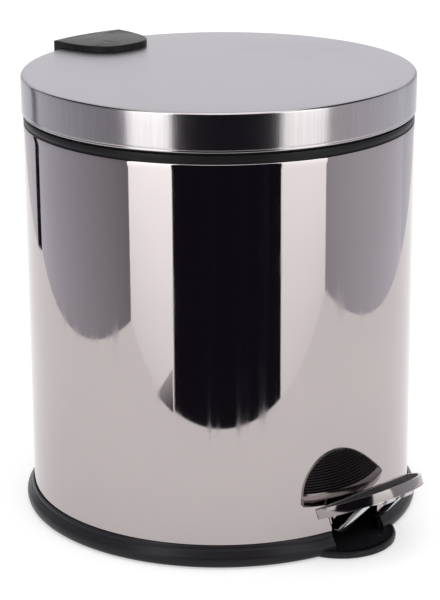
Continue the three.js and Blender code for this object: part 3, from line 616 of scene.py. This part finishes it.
def makeBaseTray():
    trayLow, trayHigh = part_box("base_tray")
    outer, inside = trayHigh.x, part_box("body_shell")[1].x + gap
    lip, under, floor = base["lip"], base["under"], base["floor"]
    rings = [(0, under), (outer - base["bulge"], under)]
    rings += arcRings(outer - base["bulge"], under + base["bulgeMiddle"], base["bulge"], -78, 62, 12,
                      base["bulgeRise"])
    rings += profile(outer, lip, (2.6, -3.2), (3.3, -2.6), (3.5, -1.1), (3.8, -0.4), (4.25, 0))
    rings += profile(inside, lip, (-0.15, 0), (0, -0.3)) + [(inside, floor), (0, floor)]
    tray = turnRings("baseTray", rings, base["steps"])
    gate = shell["slotHalf"] + 1 * mm
    top, rim, reach = base["toeTop"], base["toeRim"], base["toeRadius"]
    dish = top - base["toeDish"]
    cutAway(tray, block("gateCut", (-gate, -outer - 5 * mm, dish), (gate, -inside + 8 * mm, 20 * mm)))
    rings = [(0, dish)] + profile(reach - rim, dish, (6, 0), (1.2, 0.5))
    rings += profile(reach - rim, top, (0, -0.35), (-0.5, 0))
    rings += profile(reach, top, (1.2, 0), (0.45, -0.35), (0, -1.4))
    rings += profile(reach, under, (0.25, 0.7), (1, 0)) + [(0, under)]
    toe = turnRings("toePlate", rings, 128, (0, trayLow.y + reach))
    cutAway(toe, rodBetween("toeTrim", (0, 0, floor), (0, 0, 30 * mm), inside, 192))
    weldOn(tray, toe)
    weldOn(tray, rodBetween("boss", (0, 0, trayLow.z), (0, 0, floor - 0.5 * mm), base["bossRadius"], 64))
    for name in ("front_left", "front_right", "rear_left", "rear_right"):
        middle = middleOf("foot_" + name)
        bottom, socketTop = -1 * mm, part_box("foot_" + name)[1].z + gap
        cutAway(tray, rodBetween("socket", (middle.x, middle.y, bottom), (middle.x, middle.y, socketTop),
                                 base["footRadius"], 48))
    axle, half = middleOf("lever_axle"), base["postHalf"]
    for side in (-1, 1):
        near = side * base["postIn"]
        far = side * (base["postIn"] + base["postWidth"])
        post = block("post", (min(near, far), axle.y - half, floor - 0.4 * mm),
                     (max(near, far), axle.y + half, axle.z))
        weldOn(post, barAcross("postHead", near, far, axle, half, 48))
        cutAway(post, barAcross("postBore", near - 10 * mm, far + 10 * mm, axle, base["postBore"]))
        weldOn(tray, post)
    roundEdges(tray, 0.35 * mm, 2, 50)
    return finishPiece(tray, baseBlack, "root", ["base_tray"], 40)


def makeFeet():
    low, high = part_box("foot_front_left")
    middle = (low + high) / 2
    radius = (high.x - low.x) / 2
    rings = [(radius * share, low.z + rise * mm) for share, rise in base["tread"]]
    rings += profile(radius, low.z, (0.4, 0), (0, 0.4)) + profile(radius, high.z, (0, -0.2), (0.2, 0))
    first = turnRings("footFrontLeft", rings + [(0, high.z)], 48, (middle.x, middle.y))
    others = {"footFrontRight": "foot_front_right", "footRearLeft": "foot_rear_left",
              "footRearRight": "foot_rear_right"}
    for name, node in others.items():
        twin(first, name).location = middleOf(node) - middle
    finishPiece(first, rubberBlack, "root", ["foot_front_left"])
    for name, node in others.items():
        finishPiece(bpy.data.objects[name], rubberBlack, "root", [node])


# black collar that seats the bucket

collar = dict(
    steps=192, wall=2 * mm, deckEdge=3.8 * mm, seatWidth=3.6 * mm, seatGap=0.4 * mm,
    seatDrop=3.5 * mm, deckThick=2.5 * mm, band=5.4 * mm, notch=(6.2 * mm, 9.4 * mm),
)


def makeTopCollar():
    low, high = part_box("top_collar")
    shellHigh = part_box("body_shell")[1]
    band = high.x
    outside = shellHigh.x - shell["wall"] - gap
    insideWall = outside - collar["wall"]
    rest = shellHigh.z + gap
    deckOut = shellHigh.x - collar["deckEdge"]
    seat = high.z - collar["seatDrop"]
    under = seat - collar["deckThick"]
    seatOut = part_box("inner_bucket")[1].x + collar["seatGap"]
    seatIn = seatOut - collar["seatWidth"]
    rings = [(insideWall, low.z), (outside - 1 * mm, low.z), (outside - 0.9 * mm, rest)]
    rings += profile(band, rest, (0.35, 0), (0.105, 0.3), (0.35, 0.7), (0.35, 1.3), (0, 1.9))
    rings += profile(band, rest + collar["band"], (0, -0.8), (0.25, -0.25), (0.9, 0))
    rings += profile(deckOut, rest + collar["band"], (-0.4, 0), (0, 0.4))
    rings += profile(deckOut, high.z, (0, -0.9), (0.3, -0.25), (1, 0))
    rings += profile(seatOut, high.z, (-0.6, 0), (-0.15, -0.2), (0, -0.7))
    rings += [(seatOut, seat), (seatIn, seat), (seatIn, under)] + profile(insideWall, under, (1, 0), (0, -1))
    piece = turnRings("topCollar", rings, collar["steps"], loop=True)
    rodLow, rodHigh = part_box("push_rod")
    window = block("rodWindow", (rodHigh.x - 8 * mm, rodLow.y - 3.2 * mm, low.z - 1 * mm),
                   (rodHigh.x + 1 * mm, insideWall, high.z + 1 * mm))
    notch = block("armNotch", (collar["notch"][0], deckOut - 4.2 * mm, shellHigh.z + 1.1 * mm),
                  (collar["notch"][1], band + 2 * mm, high.z + 1 * mm))
    cutAway(piece, window, notch)
    return finishPiece(piece, collarBlack, "root", ["top_collar"], 40)


def makeCushionRing():
    low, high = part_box("cushion_ring")
    inner = high.x - 1.7 * mm
    rings = [(inner, low.z)] + profile(high.x, low.z, (0.3, 0), (0, 0.3))
    rings += profile(high.x, high.z, (0.25, -0.15), (0.6, 0)) + [(inner, high.z)]
    piece = turnRings("cushionRing", rings, 192, loop=True)
    half = lid["notchHalf"]
    cutAway(piece, block("ringGap", (-half, 0, low.z - 1 * mm), (half, 130 * mm, high.z + 1 * mm)))
    return finishPiece(piece, rubberBlack, "root", ["cushion_ring"])


# lid

lid = dict(
    steps=256, sheet=0.8 * mm, round=2.2 * mm, hem=1.7 * mm, hemRound=0.7 * mm,
    notchHalf=11.5 * mm, notchDepth=6.7 * mm,
)


def makeLidShell():
    low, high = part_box("lid_shell")
    radius, corner, sheet = high.x, lid["round"], lid["sheet"]
    inside, hemRound = radius - sheet, lid["hemRound"]
    rings = [(reach * mm, high.z) for reach in (0, 20, 60, 100)]
    rings += arcRings(radius - corner, high.z - corner, corner, 90, 0, 9)
    rings += [(radius, high.z - 8 * mm)]
    rings += profile(radius, low.z, (0, 3), (0, 1.75), (0.12, 1.5), (0, 1.2))
    rings += arcRings(radius - hemRound, low.z + hemRound, hemRound, 0, -90, 5)
    rings += profile(radius - lid["hem"], low.z, (0, 0.1), (0, 0.9))
    rings += profile(inside, low.z, (0.1, 1.4), (0, 2)) + [(inside, high.z - corner)]
    rings += arcRings(radius - corner, high.z - corner, corner - sheet, 20, 90, 4)
    rings += [(reach * mm, high.z - sheet) for reach in (100, 60, 0)]
    piece = turnRings("lidShell", rings, lid["steps"])
    half = lid["notchHalf"]
    cutAway(piece, block("hingeNotch", (-half, radius - lid["notchDepth"], low.z - 5 * mm),
                         (half, radius + 4 * mm, high.z - corner - 0.2 * mm)))
    finishPiece(piece, satinSteel, "lid", ["lid_shell"], 28)
    # the upright skirt has its own finish: upright grain, and steel lighter than the top's, whose darker
    # colour is painted shade
    piece.data.materials.append(skirtSteel)
    for face in piece.data.polygons:
        upright = abs(face.normal.z) < 0.9
        face.material_index = 1 if upright and face.center.xy.length > radius - corner - 1 * mm else 0
    return piece


# cap over the hinge

cap = dict(
    half=28.7 * mm, depth=45.5 * mm, power=2.77, frontSteps=72, rearSteps=20,
    wall=1.8 * mm, crown=0.7 * mm, edge=0.9 * mm, middle=0.48, towerHalf=7.5 * mm,
    crownSizes=(0.94, 0.86, 0.76, 0.64, 0.5, 0.34, 0.16),
)


# a superellipse at the front, the lid's own circle at the rear
def capOutline(inset, rear):
    half, radius = cap["half"] - inset, rear - inset
    sideY = sqrt(rear ** 2 - cap["half"] ** 2)
    points = []
    for i in range(cap["frontSteps"] + 1):
        angle = pi * i / cap["frontSteps"]
        across = copysign(abs(cos(angle)) ** (2 / cap["power"]), cos(angle))
        depth = abs(sin(angle)) ** (2 / cap["power"])
        points.append((half * across, sideY - (cap["depth"] - inset) * depth))
    turn = asin(half / radius)
    for i in range(1, cap["rearSteps"]):
        angle = -turn + 2 * turn * i / cap["rearSteps"]
        points.append((radius * sin(angle), radius * cos(angle)))
    return points


def makeHingeCap():
    low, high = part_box("hinge_cover")
    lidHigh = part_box("lid_shell")[1]
    rear, edge, crown = high.y, cap["edge"], cap["crown"]
    flat = high.z - crown
    piece = raisedOutline("hingeCap", capOutline(0, rear), low.z, flat - edge)
    # the shoulder and then the crown are drawn up in small steps, each a little smaller
    middle = (0, rear - cap["depth"] * cap["middle"], flat)
    steps = []
    for i in range(1, 7):
        angle = radians(15 * i)
        steps.append((1 - edge * (1 - cos(angle)) / cap["half"], flat - edge + edge * sin(angle)))
    least = steps[-1][0]
    steps += [(least * size, flat + crown * (1 - size ** 2)) for size in cap["crownSizes"]]
    openEdit(piece, "FACE", lambda centre, normal: normal.z > 0.9)
    width, height = 1, flat - edge
    for size, z in steps:
        drawOut(0, 0, z - height)
        bpy.ops.transform.resize(value=(size / width, size / width, 1), center_override=middle)
        width, height = size, z
    closeEdit()
    bottom = low.z - 20 * mm
    overLid = rodBetween("overLid", (0, 0, bottom), (0, 0, lidHigh.z + gap), lidHigh.x + gap, 256)
    hollow = raisedOutline("capHollow", capOutline(cap["wall"], rear), bottom, flat - cap["wall"])
    pin, half = middleOf("hinge_pin"), cap["towerHalf"]
    tower = block("towerGap", (-half, pin.y + 2 * mm, low.z - 2 * mm), (half, rear + 2 * mm, pin.z + 3 * mm))
    cutAway(piece, overLid, hollow, tower)
    return finishPiece(piece, capBlack, "lid", ["hinge_cover"], 42)


# hinge bracket on the rear, with its screws

bracket = dict(
    half=14 * mm, thick=2.5 * mm, knuckle=4.2 * mm, knuckleHalf=6.5 * mm,
    bore=2.3 * mm, corner=5 * mm, screwHole=1.9 * mm,
)
screw = dict(
    shank=1.6 * mm, head=2 * mm, dome=1.3 * mm, crossDepth=0.9 * mm,
    crossHalf=0.35 * mm, crossTurn=20,
)


def makeHingeBracket():
    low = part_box("hinge_bracket")[0]
    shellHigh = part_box("body_shell")[1]
    inner = shellHigh.y + gap
    outer = inner + bracket["thick"]
    top, pin, half = shellHigh.z, middleOf("hinge_pin"), bracket["half"]
    rings = [(inner, low.z), (outer, low.z), (outer, top), (inner, top)]
    foot = turnRings("hingeBracket", rings, 256, loop=True)
    keep = block("footKeep", (-half, 0, low.z - 1 * mm), (half, outer + 5 * mm, top + 1 * mm))
    combine(foot, [keep], "INTERSECT")
    openEdit(foot, "EDGE", lambda a, b: min(abs(a.x), abs(b.x)) > half - 0.2 * mm
             and abs(a.y - b.y) > 1 * mm and a.z < low.z + 0.2 * mm)
    bpy.ops.mesh.bevel(offset=bracket["corner"], segments=8)
    closeEdit()
    reach = bracket["knuckleHalf"]
    tower = block("tower", (-reach, inner, low.z + 2 * mm), (reach, outer, pin.z))
    weldOn(foot, tower, barAcross("knuckle", -reach, reach, pin, bracket["knuckle"], 64))
    cutAway(foot, barAcross("pinBore", -20 * mm, 20 * mm, pin, bracket["bore"], 48))
    for node in ("hinge_screw_upper", "hinge_screw_lower"):
        z = middleOf(node).z
        cutAway(foot, rodBetween("screwHole", (0, inner - 5 * mm, z), (0, outer + 5 * mm, z),
                                 bracket["screwHole"]))
    roundEdges(foot, 0.4 * mm, 3, 50)
    return finishPiece(foot, baseBlack, "root", ["hinge_bracket"], 40)


# a pan head with a crossed recess on a plain shank, along +Y
def makePanScrew(name, node):
    low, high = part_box(node)
    radius, length = (high.x - low.x) / 2, high.y - low.y
    shank, headFrom = screw["shank"], length - screw["head"]
    rings = [(0, 0), (shank, 0), (shank, headFrom), (radius, headFrom)]
    rings += arcRings(0, length - screw["dome"], radius, 0, 90, 8, screw["dome"])
    piece = turnRings(name, rings, 40)
    for turn in (0, 90):
        cross = block("cross", (-2 * mm, -screw["crossHalf"], length - screw["crossDepth"]),
                      (2 * mm, screw["crossHalf"], length + 1 * mm))
        cross.rotation_euler = (0, 0, radians(turn + screw["crossTurn"]))
        cutAway(piece, cross)
    piece.rotation_euler = (radians(-90), 0, 0)
    piece.location = (0, low.y, (low.z + high.z) / 2)
    return finishPiece(piece, zincPlate, "root", [node], 38)


# pedal

pedal = dict(
    steps=96, rim=6.2 * mm, wall=1.2 * mm, margin=1.9 * mm, rearMargin=5.4 * mm,
    recess=1.6 * mm, pan=1.4 * mm, corner=2.6 * mm, padGap=0.25 * mm, padCorner=1.2 * mm,
    ribs=13, ribPitch=2.3 * mm, ribWidth=1.25 * mm, ribHeight=0.7 * mm,
    firstRib=1.5 * mm, tilt=radians(24.3),
)


# the pedal's half width and its depth along its own tilted face
def pedalSize():
    low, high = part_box("pedal_plate")
    depth = (high.y - low.y - pedal["rim"] * sin(pedal["tilt"])) / cos(pedal["tilt"])
    return high.x, depth


# half of a flattened circle, straight along the rear, its two corners cut off short
def pedalOutline(half, depth, start, corner):
    begin = asin((start + corner) / depth)
    points = []
    for i in range(pedal["steps"] + 1):
        angle = begin + (pi - 2 * begin) * i / pedal["steps"]
        points.append((half * cos(angle), -depth * sin(angle)))
    edge = points[0][0] - corner * 0.8
    points += [(-edge, -start), (edge, -start)]
    return points


def placePedal(piece):
    low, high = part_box("pedal_plate")
    piece.rotation_euler = (-pedal["tilt"], 0, 0)
    piece.location = (0, high.y, low.z + pedal["rim"] * cos(pedal["tilt"]))
    settle(piece)


def makePedalPlate():
    half, depth = pedalSize()
    margin, rim = pedal["margin"], pedal["rim"]
    piece = raisedOutline("pedalPlate", pedalOutline(half, depth, 0, pedal["corner"]), -rim, 0)
    openEdit(piece, "FACE", lambda centre, normal: normal.z > 0.9)
    bpy.ops.mesh.inset(thickness=margin)
    bpy.ops.mesh.inset(thickness=0.05 * mm)
    bpy.ops.transform.translate(value=(0, 0, -pedal["recess"]))
    closeEdit()
    # the recess starts further in along the straight rear edge
    openEdit(piece, "VERT", lambda co: -margin - 0.5 * mm < co.y < -margin + 0.11 * mm
             and abs(co.x) < half - margin - 0.3 * mm)
    bpy.ops.transform.translate(value=(0, margin - pedal["rearMargin"], 0))
    closeEdit()
    openEdit(piece, "FACE", lambda centre, normal: normal.z < -0.9)
    bpy.ops.mesh.inset(thickness=pedal["wall"])
    hollow = rim - pedal["recess"] - pedal["pan"]
    drawOut(0, 0, hollow)
    closeEdit()
    roundEdges(piece, 0.4 * mm, 3, 40)
    placePedal(piece)
    return finishPiece(piece, pedalSteel, "lever", ["pedal_plate"], 40)


def makePedalPad():
    half, depth = pedalSize()
    margin = pedal["margin"] + pedal["padGap"]
    rear, width = pedal["rearMargin"], pedal["ribWidth"]
    outline = pedalOutline(half - margin, depth - margin, rear + pedal["padGap"], pedal["padCorner"])
    pad = raisedOutline("pedalPad", outline, -pedal["recess"] + pedal["padGap"], -pedal["ribHeight"])
    starts = [-(rear + pedal["firstRib"] + pedal["ribPitch"] * i) for i in range(pedal["ribs"])]
    starts = [y for y in starts if y - width > -(depth - margin - 1 * mm)]
    for start in starts:
        for y in (start, start - width):
            openEdit(pad, "FACE")
            bpy.ops.mesh.bisect(plane_co=(0, y, 0), plane_no=(0, 1, 0))
            closeEdit()
    openEdit(pad, "FACE", lambda centre, normal: normal.z > 0.9 and any(
        start - width < centre.y < start for start in starts))
    drawOut(0, 0, pedal["ribHeight"])
    closeEdit()
    roundEdges(pad, 0.22 * mm, 2, 50)
    placePedal(pad)
    return finishPiece(pad, rubberBlack, "lever", ["pedal_pad"], 40)


# lever and rod: bent wire

lever = dict(
    kneeBend=5 * mm, radius=2.1 * mm, half=17.5 * mm, meets=25 * mm, cross=32 * mm,
    knee=2.4 * mm, sleeve=4.3 * mm, sleeveHalf=22 * mm, bore=2.8 * mm, facets=24,
    bendSteps=8,
)
rod = dict(
    inFromEnd=2 * mm, hookDrop=1.7 * mm, bend=3.2 * mm, radius=1.75 * mm,
)


def makePedalLever():
    plateLow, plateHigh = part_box("pedal_plate")
    axle, rearY, side = middleOf("lever_axle"), middleOf("push_rod").y, lever["half"]
    sine, cosine = sin(pedal["tilt"]), cos(pedal["tilt"])
    drop = -(pedal["recess"] + pedal["pan"] + gap + lever["radius"])
    rearZ = plateLow.z + pedal["rim"] * cosine

    def underPan(forward):
        return plateHigh.y - forward * cosine + drop * sine, rearZ + forward * sine + drop * cosine

    kneeY = -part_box("body_shell")[1].x - lever["knee"]
    meets, cross = underPan(lever["meets"]), underPan(lever["cross"])
    corners = [(0, rearY, axle.z), (-side, rearY, axle.z), (-side, kneeY, axle.z),
               (-side, *meets), (-side, *cross), (0, *cross)]
    wire = bendWire("pedalLever", corners, lever["kneeBend"], lever["radius"], lever["facets"],
                    lever["bendSteps"], closeEnds=False)
    applyModifier(wire, "MIRROR", use_axis=(True, False, False), use_mirror_merge=True, merge_threshold=2e-5)
    openEdit(wire, "VERT")
    closeMesh(cutMerge)
    half = lever["sleeveHalf"]
    weldOn(wire, barAcross("sleeve", -half, half, axle, lever["sleeve"], 48))
    cutAway(wire, barAcross("sleeveBore", -30 * mm, 30 * mm, axle, lever["bore"], 40))
    return finishPiece(wire, brightWire, "lever", ["pedal_lever"], 40)


def makePushRod():
    low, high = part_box("push_rod")
    x, y = high.x - rod["inFromEnd"], (low.y + high.y) / 2
    hookZ = high.z - rod["hookDrop"]
    corners = [(x, y, low.z), (x, y, hookZ), (low.x, y, hookZ)]
    piece = bendWire("pushRod", corners, rod["bend"], rod["radius"], lever["facets"], lever["bendSteps"])
    roundEdges(piece, 0.3 * mm, 2, 50)
    return finishPiece(piece, zincPlate, "rod", ["push_rod"], 40)


# inner bucket, its bail and grip

bucket = dict(
    steps=192, wall=1.8 * mm, taper=8 * mm, rim=2.2 * mm, floor=2 * mm,
    corner=7 * mm, clear=0.6 * mm, lugHalf=6 * mm, lugThick=3.6 * mm, lugBore=2.3 * mm,
)
bail = dict(
    radius=2 * mm, facets=24, bend=3 * mm, past=1.2 * mm,
    gripRadius=4 * mm, gripTurn=17, grooves=9, grooveDepth=0.1,
)


def makeInnerBucket():
    low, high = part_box("inner_bucket")
    bailAt, outer = middleOf("bail_handle"), high.x
    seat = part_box("top_collar")[1].z - collar["seatDrop"] + gap
    rimTop = seat + bucket["rim"]
    wallTop = outer - collar["seatWidth"] + collar["seatGap"] - bucket["clear"]
    wallLow = wallTop - bucket["taper"]
    wall, corner = bucket["wall"], bucket["corner"]
    turn, inner = wallLow - corner, wallTop - wall
    rings = [(0, low.z)] + profile(turn, low.z, (6, 0), (4, 0.8), (2, 0))
    rings += arcRings(turn, low.z + corner, corner, -84, -4, 8)
    rings += [(wallLow + 1 * mm, low.z + 40 * mm)]
    rings += profile(wallTop, seat, (1.6, -60), (0, -12), (0, -0.5), (-0.5, 0))
    rings += profile(outer, seat, (0.6, 0), (0, 0.5))
    rings += profile(outer, rimTop, (0, -0.7), (0.25, -0.2), (0.9, 0))
    rings += profile(inner, rimTop, (-0.8, 0), (0, -0.8)) + profile(inner, seat, (0, -12), (1.6, -60))
    rings += [(wallLow + 1 * mm - wall, low.z + 40 * mm)]
    rings += arcRings(turn, low.z + corner, corner - wall, -4, -84, 8)
    rings += [(turn - 2 * mm, low.z + bucket["floor"]), (0, low.z + bucket["floor"])]
    piece = turnRings("innerBucket", rings, bucket["steps"])
    lugOut, half = wallTop - 1 * mm, bucket["lugHalf"]
    for side in (-1, 1):
        near, far = sorted((side * (lugOut - bucket["lugThick"]), side * lugOut))
        lug = block("lug", (near, -half, seat - 8 * mm), (far, half, bailAt.z))
        axis = Vector((0, 0, bailAt.z))
        weldOn(lug, barAcross("lugHead", near, far, axis, half, 48))
        roundEdges(lug, 0.5 * mm, 3, 50)
        cutAway(lug, barAcross("lugBore", near - 10 * mm, far + 10 * mm, axis, bucket["lugBore"]))
        weldOn(piece, lug)
    return finishPiece(piece, bucketBlack, "bucket", ["inner_bucket"], 40)


def bailRoute():
    low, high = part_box("bail_handle")
    return high.x - bail["radius"], (low.z + high.z) / 2


def makeBailHandle():
    reach, z = bailRoute()
    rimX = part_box("inner_bucket")[1].x
    lugIn = collar["seatWidth"] - collar["seatGap"] + bucket["clear"] + 1 * mm + bucket["lugThick"]
    inner, bend = rimX - lugIn - bail["past"], bail["bend"]
    # half of the wire: in through the lug, round the corner, then a quarter of the rim
    wire = startLoop("bailHandle", bail["facets"], bail["radius"], (-inner, 0, z), (0, radians(90), 0))
    drawOut(-(reach - inner - bend), 0, 0)
    bpy.ops.mesh.spin(steps=7, angle=radians(-90), center=(-(reach - bend), -bend, z), axis=(0, 0, 1))
    ringTurn = radians(90) - atan2(bend, reach)
    bpy.ops.mesh.spin(steps=56, angle=-ringTurn, center=(0, 0, z), axis=(0, 0, 1))
    bpy.ops.mesh.select_all(action="SELECT")
    bpy.ops.mesh.remove_doubles(threshold=wireMerge)
    closeEdit()
    applyModifier(wire, "MIRROR", use_axis=(True, False, False), use_mirror_merge=True, merge_threshold=5e-5)
    openEdit(wire, "VERT")
    closeMesh(fill=True)
    return finishPiece(wire, brightWire, "bail", ["bail_handle"], 40)


def makeBailGrip():
    reach, z = bailRoute()
    turn, grooves = bail["gripTurn"], bail["grooves"]
    first = radians(-90 - turn)
    place = (reach * cos(first), reach * sin(first), z)
    piece = startLoop("bailGrip", 32, bail["gripRadius"], place, (radians(90), 0, first))
    bpy.ops.mesh.spin(steps=grooves * 4, angle=radians(-2 * turn), center=(0, 0, z), axis=(0, 0, 1))
    closeEdit()
    # finger grooves: every fourth ring is drawn in a little
    for vertex in piece.data.vertices:
        angle = degrees(atan2(vertex.co.y, vertex.co.x)) + 90
        share = (angle + turn) / (2 * turn) * grooves
        swell = 0.5 - 0.5 * cos(2 * pi * share)
        middle = Vector((vertex.co.x, vertex.co.y, 0)).normalized() * reach
        middle.z = z
        size = 1 - bail["grooveDepth"] + bail["grooveDepth"] * swell
        vertex.co = middle + (vertex.co - middle) * size
    openEdit(piece, "EDGE")
    closeMesh(fill=True)
    roundEdges(piece, 0.5 * mm, 3, 60)
    return finishPiece(piece, bucketBlack, "bail", ["bail_grip"], 50)


# small parts that keep their shape and only take a finish

smallParts = {
    "zincPlate": ("base_screw_left", "base_screw_right", "base_screw_rear", "hinge_nut_upper",
                  "hinge_nut_lower", "hinge_pin", "hinge_pin_clip", "lever_axle", "axle_clip_left",
                  "axle_clip_right", "lid_hinge_arm", "lid_rivet_left", "lid_rivet_right",
                  "pedal_clip_left", "pedal_clip_right", "pedal_rivet_left", "pedal_rivet_right"),
    "baseBlack": ("rod_guide_lower", "rod_guide_upper", "rod_shoe"),
}


def dressSmallParts():
    for finish, nodes in smallParts.items():
        for node in nodes:
            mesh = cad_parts[node].data
            mesh.materials.clear()
            mesh.materials.append(bpy.data.materials[finish])


makeBodyShell()
makeBaseTray()
makeFeet()
makeTopCollar()
makeCushionRing()
makeLidShell()
makeHingeCap()
makeHingeBracket()
makePanScrew("hingeScrewUpper", "hinge_screw_upper")
makePanScrew("hingeScrewLower", "hinge_screw_lower")
makePedalPlate()
makePedalPad()
makePedalLever()
makePushRod()
makeInnerBucket()
makeBailHandle()
makeBailGrip()
dressSmallParts()
print("pieces ready")


# studio: floor, camera, light and the cards that the polished steel mirrors

studio = dict(
    distance=1.3448, eyeHeight=0.5669, heading=radians(43.4),
    pitch=radians(17.85), roll=-0.0054, lens=129.06, dome=1.1,
    floor=(0.6, 0.595, 0.595, 1), floorGlow=0.48, key=5.0,
)


def makeCamera():
    heading, pitch, back = studio["heading"], studio["pitch"], -studio["distance"]
    place = (back * sin(heading), back * cos(heading), studio["eyeHeight"])
    dropPick()
    bpy.ops.object.camera_add(location=place)
    camera = bpy.context.object
    level = cos(pitch)
    ahead = Vector((sin(heading) * level, cos(heading) * level, -sin(pitch)))
    camera.rotation_mode = "QUATERNION"
    camera.rotation_quaternion = ahead.to_track_quat("-Z", "Y") @ Quaternion((0, 0, 1), studio["roll"])
    camera.data.lens = studio["lens"]
    camera.data.sensor_width = 36
    camera.data.clip_end = 50
    bpy.context.scene.camera = camera


def makeFloor():
    dropPick()
    bpy.ops.mesh.primitive_plane_add(size=30, location=(0, 0, 0))
    floor = bpy.context.object
    floor.name = "studioFloor"
    material, tree, shader = newFinish("paleFloor", Roughness=0.9)
    shader.inputs["Base Color"].default_value = studio["floor"]
    shader.inputs["Specular IOR Level"].default_value = 0.1
    shader.inputs["Emission Color"].default_value = (1, 0.995, 0.995, 1)
    shader.inputs["Emission Strength"].default_value = studio["floorGlow"]
    floor.data.materials.append(material)


def even(*tone):
    return (tone,) * 4


# each card's start and end (towards the camera, to its right), its height at each end, and its tones at
# the low start, low end, high start and high end
cards = {
    "frontBlack": ((0.362, -0.151), (0.358, 0.207), (0.50, 0.50), even(0.011, 0.01, 0.015)),
    "frontLeftWhite": ((0.395, -0.434), (0.362, -0.151), (0.60, 0.60),
                       ((1.34, 1.34, 1.35), (1.3, 1.3, 1.31), (3.7, 3.78, 3.8), (3.7, 3.78, 3.8))),
    "frontRightWhite": ((0.358, 0.207), (0.350, 0.558), (0.60, 0.60),
                        ((1.3, 1.29, 1.29), (1.34, 1.34, 1.35), (2.9, 2.92, 2.93), (3.3, 3.36, 3.4))),
    "leftShade": ((0.357, -0.222), (0.357, -0.154), (0.002, 0.034),
                  ((0.5, 0.5, 0.52), (0.03, 0.03, 0.04), (1.1, 1.08, 1.08), (0.75, 0.74, 0.75))),
    "leftGrey": ((-0.345, -0.594), (0.395, -0.434), (0.55, 0.55),
                 ((0.86, 0.87, 0.96), (0.30, 0.295, 0.32), (0.60, 0.61, 0.70), (0.19, 0.18, 0.21))),
    "rightGrey": ((0.350, 0.558), (-0.375, 0.540), (0.55, 0.55),
                  ((0.50, 0.495, 0.53), (0.93, 0.95, 1.04), (0.64, 0.62, 0.66), (0.66, 0.67, 0.75))),
    "rightFar": ((-0.375, 0.540), (-1.3, 0.42), (0.55, 0.62),
                 ((0.80, 0.82, 0.88), (0.82, 0.83, 0.88), (0.42, 0.41, 0.45), (0.44, 0.43, 0.46))),
    "leftFar": ((-1.3, -0.44), (-0.405, -0.560), (0.62, 0.55),
                ((0.86, 0.86, 0.9), (0.82, 0.83, 0.88), (0.62, 0.62, 0.66), (0.62, 0.62, 0.67))),
    "leftHigh": ((-0.62, -0.68), (0.43, -0.56), (1.25, 1.25), even(0.03, 0.028, 0.032)),
    "rightHigh": ((0.43, 0.62), (-0.62, 0.64), (1.25, 1.25), even(0.03, 0.028, 0.032)),
    "leftEdge": ((-0.405, -0.560), (-0.345, -0.594), (0.55, 0.55), even(0.012, 0.01, 0.014)),
}


# an upright panel that glows with its four tones and shows only in reflections
def makeCard(name, start, end, heights, tones):
    heading = studio["heading"]
    toward = Vector((-sin(heading), -cos(heading), 0))
    aside = Vector((cos(heading), -sin(heading), 0))
    first = toward * start[0] + aside * start[1]
    last = toward * end[0] + aside * end[1]
    dropPick()
    bpy.ops.mesh.primitive_plane_add(size=1)
    card = bpy.context.object
    card.name = name
    corners = ((first, 0), (last, 0), (first, heights[0]), (last, heights[1]))
    for vertex, (spot, z) in zip(card.data.vertices, corners):
        vertex.co = (spot.x, spot.y, z)
    material = bpy.data.materials.new(name)
    material.use_nodes = True
    tree = material.node_tree
    tree.nodes.clear()
    place = addNode(tree, "UVMap")
    split = addNode(tree, "SeparateXYZ")
    foot, head, both = [addNode(tree, "Mix", data_type="RGBA") for i in range(3)]
    for mix, left, right in ((foot, tones[0], tones[1]), (head, tones[2], tones[3])):
        mix.inputs["A"].default_value = (*left, 1)
        mix.inputs["B"].default_value = (*right, 1)
    glow = addNode(tree, "Emission")
    output = addNode(tree, "OutputMaterial")
    link(
        tree,
        (place, "UV", split, 0), (split, "X", foot, "Factor"), (split, "X", head, "Factor"),
        (split, "Y", both, "Factor"), (foot, "Result", both, "A"), (head, "Result", both, "B"),
        (both, "Result", glow, "Color"), (glow, 0, output, "Surface"),
    )
    card.data.materials.append(material)
    for ray in ("camera", "diffuse", "shadow", "transmission"):
        setattr(card, "visible_" + ray, False)


def makeLight():
    world = bpy.data.worlds.new("studioWorld")
    bpy.context.scene.world = world
    world.use_nodes = True
    background = world.node_tree.nodes["Background"]
    background.inputs["Color"].default_value = (1.0, 0.995, 1.0, 1)
    background.inputs["Strength"].default_value = studio["dome"]
    dropPick()
    turn = (radians(20), radians(-12), 0)
    bpy.ops.object.light_add(type="AREA", location=(-0.4, -0.6, 1.9), rotation=turn)
    key = bpy.context.object
    key.data.shape = "RECTANGLE"
    key.data.size, key.data.size_y = 1.6, 1.2
    key.data.energy = studio["key"]


makeCamera()
makeFloor()
for name, card in cards.items():
    makeCard(name, *card)
makeLight()
bpy.context.scene.view_settings.view_transform = "Standard"
print("studio ready")
